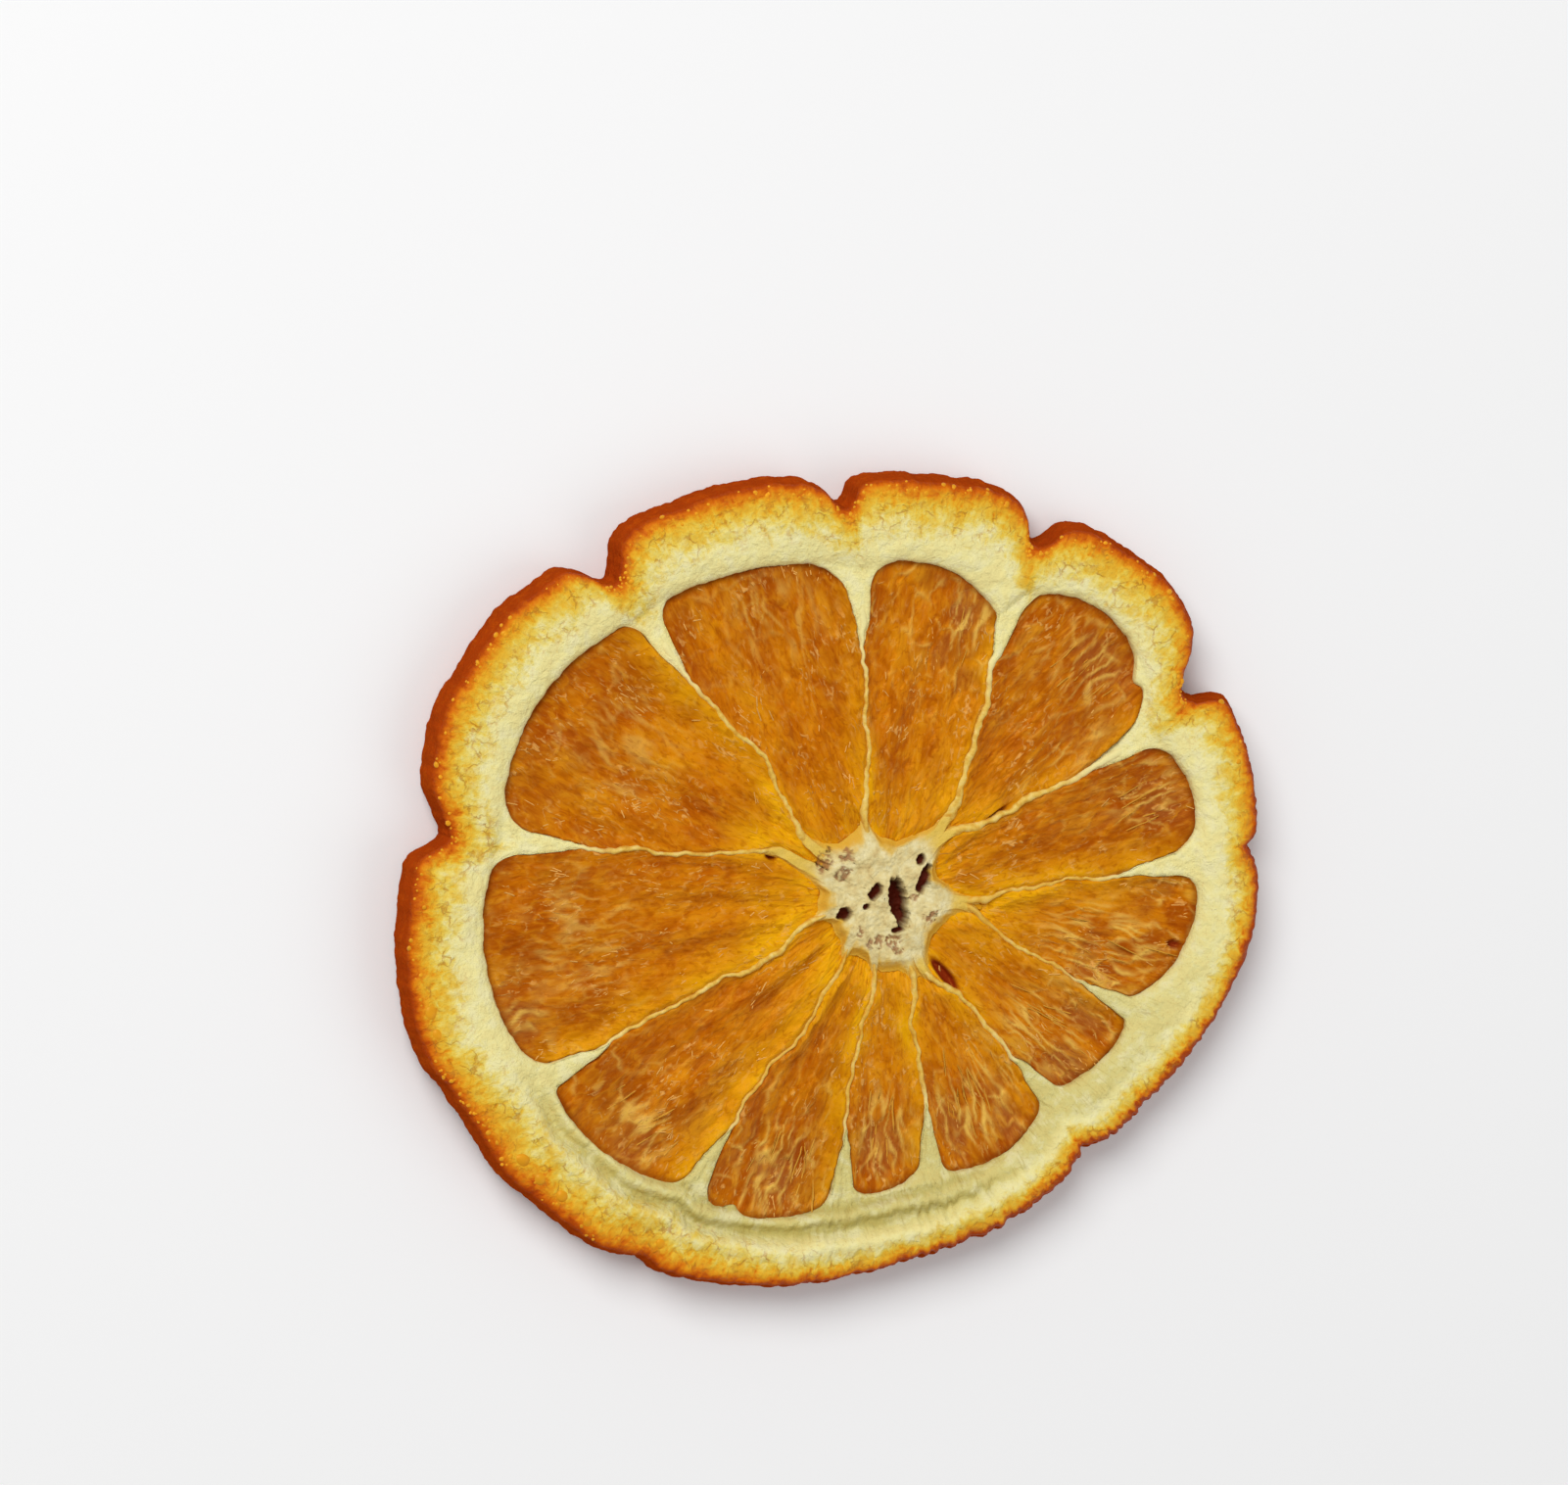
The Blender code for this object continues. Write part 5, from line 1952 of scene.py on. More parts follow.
    def masks(self, at: PulpPoints) -> dict:
        """Colour masks for the finish.

        Args:
            at: points of the pulp.
        Returns:
            Values of each mask by its name.
        """
        outer = smooth((at.radius / self.crown(at.share) - 0.62) / 0.3)
        shade = outer * smooth(0.5 + 0.8 * self.noise.soft(at.across / 3.4 + 31.0, at.radius / 3.6))
        crest, near, tone = self.vesicles(at)
        strength = self.vein_strength(at)
        from_lip = np.abs(self.from_lip(at) - 0.1)
        return {
            "tone": tone,
            "sac": np.clip(1.1 * strength * smooth((0.62 - near) / 0.3), 0.0, 1.0),
            # Painted light on the lit side, with the pulp's own yellow by the walls and core
            "glow": self.glow(at),
            "shade": np.clip(shade + self.segment.dusk + 0.25 * (tone - 0.5) * strength, 0.0, 1.0),
            "vein": np.clip(strength * crest + 0.9 * self.threads(at), 0.0, 1.0),
            "window": np.clip(covered(WINDOWS, at) * (1.0 - crest), 0.0, 1.0),
            # Painted shade in the small holes
            "hollow_shade": np.clip(2.2 * covered(HOLLOWS, at) - 0.3, 0.0, 1.0),
            # Painted shadow line along the rind's inner edge
            "edge": 0.6 * bell(from_lip, 0.28),
        }


@dataclass
class Pulp:
    """Pulp of one segment: a closed pillow whose ends lie under the rind and the core."""

    plan: SlicePlan
    index: int
    finish: Material
    spacing: float = 0.135
    under_columns: int = 34
    bury: float = 0.65
    wall_gap: float = 0.1
    widest_radius: float = 22.0
    shown_range: tuple = (1.6, 4.4)
    under_range: tuple = (0.3, 1.5)

    def build(self) -> None:
        segment = SEGMENTS[self.index]
        shown = PulpField(self.plan, self.index)
        hidden = PulpField(self.plan, self.index, under=True)
        start, end = self.plan.wall_bearings(self.index, np.array([self.widest_radius]))
        columns = int(math.radians(float(end[0] - start[0])) * self.widest_radius / self.spacing)
        crown = float(shown.crown(np.array([0.5]))[0])
        rows = int((crown - segment.core_radius + 2.0 * self.bury) / self.spacing)
        there, back = np.linspace(0.0, 1.0, columns), np.linspace(1.0, 0.0, self.under_columns)
        share = np.concatenate((there, back))[None, :]
        along = np.linspace(0.0, 1.0, rows)[:, None]
        radius = lerp(segment.core_radius - self.bury, shown.crown(share) + self.bury, along)
        start, end = self.plan.wall_bearings(self.index, radius)
        gap = np.degrees(self.wall_gap / radius)
        bearing = lerp(start + gap, end - gap, share)
        down = np.broadcast_to(np.arange(share.size)[None, :] >= columns, radius.shape)
        height = np.where(down, np.clip(hidden.bottom(hidden.at(bearing, radius)), *self.under_range),
                          np.clip(shown.top(shown.at(bearing, radius)), *self.shown_range))
        x, y = self.plan.place(bearing, radius)
        masks = shown.masks(shown.at(bearing, radius))
        masks["grain"] = self.grain(x, y, down)
        points = np.stack((x, y, height + self.plan.lift(x, y)), -1)
        declare(Loft(f"pulp_{self.index + 1:02d}", points).build(masks, self.finish))

    def grain(self, x: Grid, y: Grid, down: Grid) -> Grid:
        """Place across and along the segment, and apart from the others, for the finish's noise.

        Args:
            x: places along X.
            y: places along Y.
            down: which points are on the underside.
        Returns:
            The places.
        """
        start, end = self.plan.wall_bearings(self.index, np.array([MIDDLE_RADIUS]))
        axis = math.radians(float(start[0] + end[0]) / 2.0)
        along = x * math.cos(axis) + y * math.sin(axis)
        across = y * math.cos(axis) - x * math.sin(axis)
        return np.stack((across, along, np.where(down, 9.0, 0.0) + 3.0 * self.index), -1)


@dataclass
class MembraneWall:
    """Thin wavy wall between two segments, buried in the core and in the rind."""

    plan: SlicePlan
    index: int
    finish: Material
    spacing: float = 0.1
    profile: tuple = ((-1.0, 0.5), (-1.0, 0.72), (-0.92, 0.88), (-0.62, 0.97), (-0.2, 1.0), (0.2, 1.0),
                      (0.62, 0.97), (0.92, 0.88), (1.0, 0.72), (1.0, 0.5),
                      (1.0, 0.28), (0.8, 0.08), (0.3, 0.0), (-0.3, 0.0), (-0.8, 0.08), (-1.0, 0.28))
    inner: float = 4.9
    bury: float = 2.4
    swell_radius: float = 8.0
    swell: float = 0.5
    relief_height: float = 0.08
    fine_height: float = 0.04
    lean: float = 0.06

    def build(self) -> None:
        membrane = MEMBRANES[self.index]
        noise = Lattice(400 + self.index)
        outer = membrane.spur_tip + self.bury
        radius = np.linspace(self.inner, outer, int((outer - self.inner) / self.spacing))[:, None]
        side = np.array([point[0] for point in self.profile])[None, :]
        level = np.array([point[1] for point in self.profile])[None, :]
        spur = smooth((radius - membrane.spur_tip + 4.6) / 5.6)
        uneven = 0.28 * noise.layered(radius / 1.1, 0.5) + 0.12 * noise.soft(radius / 0.35, 9.5)
        width = self.plan.wall_half_width(self.index, radius) * (1.0 + uneven * (1.0 - spur))
        width = width * lerp(0.55, 1.0, smooth((radius - self.inner) / 2.5))
        width = width * (1.0 + self.swell * bell(radius - self.swell_radius, 2.5))
        height = self.plan.membrane_height(self.index, radius)
        relief = self.relief_height * noise.layered(radius / 1.7, 3.5)
        relief = relief + self.fine_height * noise.soft(radius / 0.4, 5.5)
        height = height + relief * (1.0 - spur)
        lean = self.lean * noise.soft(radius / 0.7, 12.5 + level)
        bearing = self.plan.membrane_bearing(self.index, radius) + np.degrees((side * width + lean) / radius)
        z = lerp(MEMBRANE_BOTTOM, height, level)
        grid_radius = np.broadcast_to(radius, bearing.shape)
        x, y = self.plan.place(bearing, grid_radius)
        points = np.stack((x, y, z + self.plan.lift(x, y)), -1)
        faint = (1.0 - membrane.show) * smooth(0.7 + 0.8 * noise.soft(radius / 3.0, 21.5)) * (1.0 - spur)
        made = Loft(f"membrane_{self.index + 1:02d}", points).build({
            "crest": np.broadcast_to(smooth((level - 0.8) / 0.18), bearing.shape),
            "faint": np.broadcast_to(faint, bearing.shape),
            "pithy": np.broadcast_to(smooth((radius - membrane.spur_tip + 6.0) / 4.5), bearing.shape),
        }, self.finish)
        declare(made)


@dataclass(frozen=True)
class Pit:
    """A hole in the core: middle, half sizes, the bearing of its long side, and its depth."""

    x: float
    y: float
    half_long: float
    half_wide: float
    bearing: float
    depth: float

    def cover(self, x: Grid, y: Grid, uneven: Grid) -> Grid:
        """Share of the pit at each point, 1 inside and 0 outside its ragged edge.

        Args:
            x: places along X.
            y: places along Y.
            uneven: ragged edge, as a share.
        Returns:
            Shares.
        """
        turn = math.radians(self.bearing)
        away_x, away_y = x - self.x, y - self.y
        along = (away_x * math.cos(turn) + away_y * math.sin(turn)) / self.half_long
        across = (away_y * math.cos(turn) - away_x * math.sin(turn)) / self.half_wide
        return smooth((1.15 - np.hypot(along, across) + uneven) / 0.35)


CORE_PITS = (
    Pit(1.2, -0.25, 1.95, 0.72, 102.0, 1.9), Pit(-0.71, 0.62, 0.75, 0.42, 55.0, 1.0),
    Pit(-3.25, -1.08, 0.6, 0.5, 20.0, 0.9), Pit(3.01, 3.08, 0.45, 0.35, 70.0, 0.8),
    Pit(3.2, 1.5, 1.15, 0.42, 72.0, 0.9), Pit(1.11, -2.46, 0.5, 0.25, 10.0, 0.7),
    Pit(-1.5, -0.55, 0.3, 0.22, 40.0, 0.5),
)
CORE_PORES = (
    Pit(-4.84, 3.08, 1.0, 0.55, 60.0, 0.35), Pit(-3.41, 2.08, 0.7, 0.6, 20.0, 0.35),
    Pit(-3.01, 3.46, 0.6, 0.5, 80.0, 0.3), Pit(-0.71, -3.38, 0.7, 0.55, 10.0, 0.35),
    Pit(0.87, -3.62, 0.8, 0.6, 120.0, 0.35), Pit(3.81, -1.46, 0.6, 0.5, 50.0, 0.3),
    Pit(-2.1, -2.5, 0.4, 0.4, 0.0, 0.25), Pit(2.4, 0.1, 0.35, 0.3, 0.0, 0.25),
)


@dataclass
class Core:
    """Spongy star in the middle, with webs that run out along the membranes."""

    plan: SlicePlan
    finish: Material
    columns_count: int = 560
    top_rows: int = 88
    under_rows: int = 16
    wall_rows: tuple = ((0.0, 2.9), (0.1, 2.1), (0.1, 1.3))
    top_shares: tuple = (0.012, 1.0)
    under_shares: tuple = (0.96, 0.015)
    least_radius: float = 0.05
    sponge_height: float = 0.12
    fine_height: float = 0.05
    web_height: float = 0.08
    ragged: float = 0.22
    pore_sink: float = 0.5
    pore_stain: float = 0.8
    rim_stain: float = 0.85
    crest_amber: float = 0.15

    def build(self) -> None:
        noise = Lattice(613)
        columns = Columns.spread(self.plan, self.columns_count, (lambda made: made.core_radius(),))
        edge = columns.core_radius()
        x, y = self.plan.place(columns.bearing(edge), edge)
        edge = edge + 0.18 * noise.soft(x / 1.0, y / 1.0) + 0.08 * noise.soft(x / 0.35, y / 0.35)
        rows, shares = [], []
        for share in np.linspace(*self.top_shares, self.top_rows):
            rows.append(self.top_row(columns, edge, share, noise))
            shares.append(share)
        for inset, height in self.wall_rows:
            rows.append(self.flat_row(columns, edge - inset, height))
            shares.append(1.0)
        for share in np.linspace(*self.under_shares, self.under_rows):
            rows.append(self.flat_row(columns, edge * share, CORE_BOTTOM))
            shares.append(share)
        points = np.stack(rows)
        hub_x, hub_y = points[..., 0] - CORE_X, points[..., 1] - CORE_Y
        radius = np.hypot(hub_x, hub_y)
        uneven, grain = self.uneven(noise, hub_x, hub_y)
        # Share of the pits, which the finish paints dark red as shade
        pit = np.max([pit.cover(hub_x, hub_y, uneven) for pit in CORE_PITS], axis=0)
        pore = np.max([pit.cover(hub_x, hub_y, 2.0 * uneven) for pit in CORE_PORES], axis=0) * grain
        to_edge = edge[None, :] - radius
        rim = smooth((radius - 4.9 + 1.5 * uneven) / 1.4) * smooth((np.array(shares)[:, None] - 0.35) / 0.3)
        rim = np.maximum(rim, smooth(1.2 - (to_edge + 1.6 * uneven) / 1.3))
        web = np.array([segment.web for segment in SEGMENTS])[columns.index][None, :]
        amber = rim * np.where(columns.crest, self.crest_amber, web)
        amber = np.clip(amber * smooth(1.1 - to_edge / lerp(0.7, 3.2, web)), 0.0, 1.0)
        made = Loft("core", points).build({"pit": pit, "pore": self.pore_stain * pore,
                                           "rim": self.rim_stain * rim, "amber": amber}, self.finish)
        declare(made)

    def uneven(self, noise: Lattice, hub_x: Grid, hub_y: Grid) -> tuple:
        """Ragged edge of the pits, and the grain of the pores, at each point."""
        ragged = self.ragged * noise.layered(hub_x / 0.55, hub_y / 0.55)
        return ragged, smooth(0.8 + 1.5 * noise.layered(hub_x / 0.35 + 5.0, hub_y / 0.35))

    def top_row(self, columns: Columns, edge: Grid, share: float, noise: Lattice) -> Grid:
        """One row of points on the shown side, a share of the way to the edge.

        Args:
            columns: columns of the core.
            edge: radius of the core's edge.
            share: share of the way to the edge.
            noise: the core's noise.
        Returns:
            The points.
        """
        radius = np.maximum(edge * share, self.least_radius)
        x, y = self.plan.place(columns.bearing(radius), radius)
        hub_x, hub_y = x - CORE_X, y - CORE_Y
        sponge = CORE_TOP + CORE_RELIEF * CORE_RIPPLE.at(x, y)
        sponge = sponge + self.sponge_height * noise.layered(hub_x / 0.9, hub_y / 0.9)
        sponge = sponge + self.fine_height * noise.soft(hub_x / 0.3, hub_y / 0.3)
        web = WEB_TOP + self.web_height * noise.layered(hub_x / 1.4, hub_y / 1.4)
        height = lerp(sponge, web, smooth((radius - CORE_RADIUS) / 2.0))
        fall = lerp(0.7, 2.4, smooth((edge - 5.4) / 2.0))
        height = lerp(height, CORE_EDGE_TOP, smooth(1.0 - (edge - radius) / fall))
        uneven, grain = self.uneven(noise, hub_x, hub_y)
        for pit in CORE_PITS:
            height = height - pit.depth * pit.cover(hub_x, hub_y, uneven)
        for pore in CORE_PORES:
            height = height - self.pore_sink * pore.depth * pore.cover(hub_x, hub_y, 2.0 * uneven) * grain
        return np.stack((x, y, height + self.plan.lift(x, y)), -1)

    def flat_row(self, columns: Columns, radius: Grid, height: float) -> Grid:
        """One level row of points."""
        x, y = self.plan.place(columns.bearing(radius), radius)
        return np.stack((x, y, height + self.plan.lift(x, y)), -1)


class Form(Enum):
    """Shapes that are strewn over the slice."""

    BEAD = "bead"
    STRAND = "strand"
    SPINDLE = "spindle"


@dataclass
class Strewn:
    """Copies of one small shape at given places, made by a Geometry Nodes tree into one plain mesh."""

    name: str
    form: Form
    finish: Material
    slot: Slot
    places: Grid
    turns: Grid
    sizes: Grid
    wave: float = 0.0
    wave_scale: float = 900.0
    bead_detail: int = 3
    strand_steps: int = 9
    spindle_steps: int = 4
    tube_sides: int = 5
    arc: tuple = ((-0.5, 0.0, -0.1), (0.0, 0.16, 0.25), (0.5, 0.0, -0.1))
    taper_reach: float = 0.45
    taper_end: float = 0.12

    def build(self) -> None:
        mesh = bpy.data.meshes.new(self.name)
        mesh.vertices.add(len(self.places))
        mesh.vertices.foreach_set("co", (self.places * MM).astype(np.float32).ravel())
        for name, values in (("turn", self.turns), ("size", self.sizes)):
            layer = mesh.attributes.new(name, "FLOAT_VECTOR", "POINT")
            layer.data.foreach_set("vector", values.astype(np.float32).ravel())
        made = bpy.data.objects.new(self.name, mesh)
        bpy.context.scene.collection.objects.link(made)
        tree = self.make_tree()
        modifier = made.modifiers.new("strewn", "NODES")
        modifier.node_group = tree
        sockets = {item.name: item.identifier for item in tree.interface.items_tree
                   if item.item_type == "SOCKET" and item.in_out == "INPUT"}
        modifier[sockets["Finish"]] = self.finish
        modifier[sockets["Unit"]] = MM
        modifier[sockets["Wave"]] = self.wave * MM
        bpy.context.view_layer.update()
        evaluated = made.evaluated_get(bpy.context.evaluated_depsgraph_get())
        plain = bpy.data.meshes.new_from_object(evaluated)
        made.modifiers.remove(modifier)
        made.data = plain
        plain.name = self.name
        bpy.data.meshes.remove(mesh)
        plain.polygons.foreach_set("use_smooth", np.ones(len(plain.polygons), bool))
        declare(made)

    def make_tree(self) -> bpy.types.NodeTree:
        """Tree that sets the shape on every point, waves it a little and gives it its finish.

        Returns:
            The tree.
        """
        tree = bpy.data.node_groups.new(f"{self.name}_tree", "GeometryNodeTree")
        face = tree.interface
        face.new_socket("Points", in_out="INPUT", socket_type="NodeSocketGeometry")
        face.new_socket("Finish", in_out="INPUT", socket_type="NodeSocketMaterial")
        face.new_socket("Unit", in_out="INPUT", socket_type="NodeSocketFloat")
        face.new_socket("Wave", in_out="INPUT", socket_type="NodeSocketFloat")
        face.new_socket("Slice part", in_out="OUTPUT", socket_type="NodeSocketGeometry")
        nodes, links = tree.nodes, tree.links
        given = nodes.new("NodeGroupInput")
        result = nodes.new("NodeGroupOutput")
        shape = self.add_shape(tree)
        turn = self.add_named(tree, "turn")
        size = self.add_named(tree, "size")
        scaled = nodes.new("ShaderNodeVectorMath")
        scaled.operation = "SCALE"
        links.new(size, scaled.inputs[0])
        links.new(given.outputs["Unit"], scaled.inputs["Scale"])
        spread = nodes.new("GeometryNodeInstanceOnPoints")
        links.new(given.outputs["Points"], spread.inputs["Points"])
        links.new(shape, spread.inputs["Instance"])
        links.new(turn, spread.inputs["Rotation"])
        links.new(scaled.outputs[0], spread.inputs["Scale"])
        real = nodes.new("GeometryNodeRealizeInstances")
        links.new(spread.outputs[0], real.inputs[0])
        waved = nodes.new("GeometryNodeSetPosition")
        links.new(real.outputs[0], waved.inputs["Geometry"])
        links.new(self.add_wave(tree, given.outputs["Wave"]), waved.inputs["Offset"])
        finished = nodes.new("GeometryNodeSetMaterial")
        links.new(waved.outputs[0], finished.inputs["Geometry"])
        links.new(given.outputs["Finish"], finished.inputs["Material"])
        links.new(finished.outputs[0], result.inputs[0])
        return tree

    @staticmethod
    def add_named(tree: bpy.types.NodeTree, name: str) -> Socket:
        """A named vector of the points.

        Args:
            tree: tree that gets the nodes.
            name: name of the vector.
        Returns:
            Its socket.
        """
        made = tree.nodes.new("GeometryNodeInputNamedAttribute")
        made.data_type = "FLOAT_VECTOR"
        made.inputs["Name"].default_value = name
        return made.outputs["Attribute"]

    def add_wave(self, tree: bpy.types.NodeTree, amount: Socket) -> Socket:
        """Offset of each vertex by smooth noise.

        Args:
            tree: tree that gets the nodes.
            amount: length of the greatest offset.
        Returns:
            The offset.
        """
        noise = tree.nodes.new("ShaderNodeTexNoise")
        noise.inputs["Scale"].default_value = self.wave_scale
        noise.inputs["Detail"].default_value = 1.0
        centred = tree.nodes.new("ShaderNodeVectorMath")
        centred.operation = "SUBTRACT"
        tree.links.new(noise.outputs["Color"], centred.inputs[0])
        centred.inputs[1].default_value = (0.5, 0.5, 0.5)
        scaled = tree.nodes.new("ShaderNodeVectorMath")
        scaled.operation = "SCALE"
        tree.links.new(centred.outputs[0], scaled.inputs[0])
        tree.links.new(amount, scaled.inputs["Scale"])
        return scaled.outputs[0]

    def add_shape(self, tree: bpy.types.NodeTree) -> Socket:
        """The shape to copy, one unit long along its own X.

        Args:
            tree: tree that gets the nodes.
        Returns:
            The shape.
        """
        nodes, links = tree.nodes, tree.links
        if self.form is Form.BEAD:
            ball = nodes.new("GeometryNodeMeshIcoSphere")
            ball.inputs["Radius"].default_value = 0.5
            ball.inputs["Subdivisions"].default_value = self.bead_detail
            return ball.outputs["Mesh"]
        arc = nodes.new("GeometryNodeCurveQuadraticBezier")
        steps = self.strand_steps if self.form is Form.STRAND else self.spindle_steps
        arc.inputs["Resolution"].default_value = steps
        for name, point in zip(("Start", "Middle", "End"), self.arc):
            arc.inputs[name].default_value = point
        factor = nodes.new("GeometryNodeSplineParameter")
        taper = nodes.new("ShaderNodeMapRange")
        taper.interpolation_type = "SMOOTHSTEP"
        away = nodes.new("ShaderNodeMath")
        away.operation = "PINGPONG"
        links.new(factor.outputs["Factor"], away.inputs[0])
        away.inputs[1].default_value = 0.5
        links.new(away.outputs[0], taper.inputs["Value"])
        taper.inputs["From Max"].default_value = self.taper_reach
        taper.inputs["To Min"].default_value = self.taper_end
        radius = nodes.new("GeometryNodeSetCurveRadius")
        links.new(arc.outputs[0], radius.inputs[0])
        links.new(taper.outputs["Result"], radius.inputs["Radius"])
        profile = nodes.new("GeometryNodeCurvePrimitiveCircle")
        profile.inputs["Resolution"].default_value = self.tube_sides
        profile.inputs["Radius"].default_value = 0.5
        tube = nodes.new("GeometryNodeCurveToMesh")
        tube.inputs["Fill Caps"].default_value = True
        links.new(radius.outputs[0], tube.inputs["Curve"])
        links.new(profile.outputs[0], tube.inputs["Profile Curve"])
        return tube.outputs[0]


@dataclass(frozen=True)
class Tuft:
    """A group of strands on the pulp: where, how many, how long, and how they lean off the radius."""

    bearing: float
    radius: float
    spread: float
    reach: float
    count: int
    length: float
    lean: float = 0.0


TUFTS = (
    Tuft(20.0, 22.5, 6.0, 1.6, 7, 4.6, 8.0), Tuft(46.0, 24.0, 7.0, 1.6, 6, 3.6, -8.0),
    Tuft(72.0, 23.0, 4.0, 1.6, 6, 4.4, 6.0), Tuft(222.0, 26.0, 6.0, 1.6, 7, 3.4, -8.0),
    Tuft(250.0, 22.0, 8.0, 2.4, 10, 4.2, 5.0), Tuft(271.0, 18.5, 6.0, 2.4, 8, 4.0, 0.0),
    Tuft(292.0, 18.5, 7.0, 2.4, 9, 4.2, -6.0), Tuft(321.0, 17.0, 7.0, 2.4, 10, 4.0, 10.0),
    Tuft(346.0, 18.5, 8.0, 3.2, 12, 4.6, -10.0), Tuft(308.0, 9.0, 2.0, 1.5, 2, 3.0, 0.0),
)


@dataclass(frozen=True)
class Thread:
    """One kind of strand: its piece, form, finish, thickness, how deep it is sunk, and its waviness."""

    name: str
    form: Form
    finish: PlainFinish
    thickness: float
    sink: float
    wave: float


FIBRE = Thread("pulp_fibres", Form.STRAND, PlainFinish("strand", srgb(216, 154, 52), 0.4),
               0.12, 0.03, 0.35)
# Pale spindles on the pulp, their colour painted glint
GLINT_STROKE = Thread("pulp_glint_strokes", Form.SPINDLE, PlainFinish("glint", srgb(228, 168, 86), 0.25),
                0.11, 0.035, 0.12)


@dataclass
class Strands:
    """Loose fibres, and short pale strokes on the pulp whose colour is painted glint."""

    plan: SlicePlan
    stroke_count: int = 1000
    drift_size: float = 3.2
    reach: float = 31.5
    group_most: int = 7
    group_spread: float = 0.45
    wall_room: float = 0.6
    core_room: float = 0.8
    slope_step: float = 0.3

    def build(self) -> None:
        """Make both pieces."""
        draw = np.random.default_rng(907)
        self.lay(FIBRE, self.tufts(draw), draw)
        self.lay(GLINT_STROKE, self.strokes(draw), draw)

    @staticmethod
    def tufts(draw: np.random.Generator) -> Grid:
        """Bearing, radius, length and lean of every long strand.

        Args:
            draw: seeded draws.
        Returns:
            One row a strand.
        """
        rows = []
        for tuft in TUFTS:
            for _ in range(tuft.count):
                rows.append((draw.normal(tuft.bearing, 0.6 * tuft.spread),
                             draw.normal(tuft.radius, 0.6 * tuft.reach),
                             tuft.length * draw.uniform(0.4, 1.1), draw.normal(tuft.lean, 5.0)))
        return np.array(rows)

    def strokes(self, draw: np.random.Generator) -> Grid:
        """Bearing, radius, length and lean of every short stroke, in small groups within loose drifts.

        Args:
            draw: seeded draws.
        Returns:
            One row a stroke.
        """
        drift = Lattice(77)
        rows = []
        while len(rows) < self.stroke_count:
            bearing = draw.uniform(0.0, 360.0)
            radius = self.reach * math.sqrt(draw.uniform(0.03, 1.0))
            turn = math.radians(bearing)
            here = drift.soft(radius * math.cos(turn) / self.drift_size,
                              radius * math.sin(turn) / self.drift_size)
            if draw.uniform(0.0, 0.8) < here:
                lean = draw.normal(0.0, 22.0)
                for _ in range(draw.integers(1, self.group_most)):
                    aside, along = draw.normal(0.0, self.group_spread, 2)
                    rows.append((bearing + math.degrees(aside / radius), radius + along,
                                 draw.uniform(0.2, 0.8), draw.normal(lean, 12.0)))
        return np.array(rows)

    def lay(self, kind: Thread, rows: Grid, draw: np.random.Generator) -> None:
        """Set strands on the pulp and drop those that miss it.

        Args:
            kind: kind of strand.
            rows: bearing, radius, length and lean of each.
            draw: seeded draws.
        """
        places, turns, sizes = [], [], []
        for index in range(self.plan.count):
            pulp = PulpField(self.plan, index)
            start, end = self.plan.wall_bearings(index, rows[:, 1])
            bearing = start + (rows[:, 0] - start) % 360.0
            inside = self.inside(pulp, PulpPoints(bearing, rows[:, 1], start, end), rows[:, 2])
            if not inside.any():
                continue
            bearing, radius, length, lean = bearing[inside], *rows[inside, 1:].T
            x, y = self.plan.place(bearing, radius)
            height = pulp.top(pulp.at(bearing, radius)) + self.plan.lift(x, y) - kind.sink
            rise = (pulp.top(pulp.at(bearing, radius + self.slope_step))
                    - pulp.top(pulp.at(bearing, radius - self.slope_step)))
            pitch = -np.arctan(rise / (2.0 * self.slope_step))
            places.append(np.stack((x, y, height), -1))
            turns.append(np.stack((draw.uniform(-0.5, 0.5, len(x)), pitch, np.radians(bearing + lean)), -1))
            girth = kind.thickness * draw.uniform(0.7, 1.2, len(x))
            sizes.append(np.stack((length, girth, 0.7 * girth), -1))
        Strewn(kind.name, kind.form, kind.finish.make(), Slot.PULP, np.concatenate(places),
               np.concatenate(turns), np.concatenate(sizes), kind.wave).build()

    def inside(self, pulp: PulpField, at: PulpPoints, length: Grid) -> Grid:
        """Which strands lie within a segment, clear of its walls.

        Args:
            pulp: pulp of the segment.
            at: places of the strands.
            length: their lengths.
        Returns:
            True for those that stay.
        """
        share = at.share
        room = np.minimum(at.to_start, at.to_end)
        inside = (share > 0.0) & (share < 1.0) & (room > self.wall_room)
        return (inside & (at.radius < pulp.crown(share) - 0.45 * length)
                & (at.radius > pulp.segment.core_radius + self.core_room))


GLAND_BEADS = ((213.5, 35.2), (217.0, 35.0), (220.6, 34.3), (225.2, 34.5), (235.4, 31.8),
               (191.8, 37.3), (194.4, 37.3))


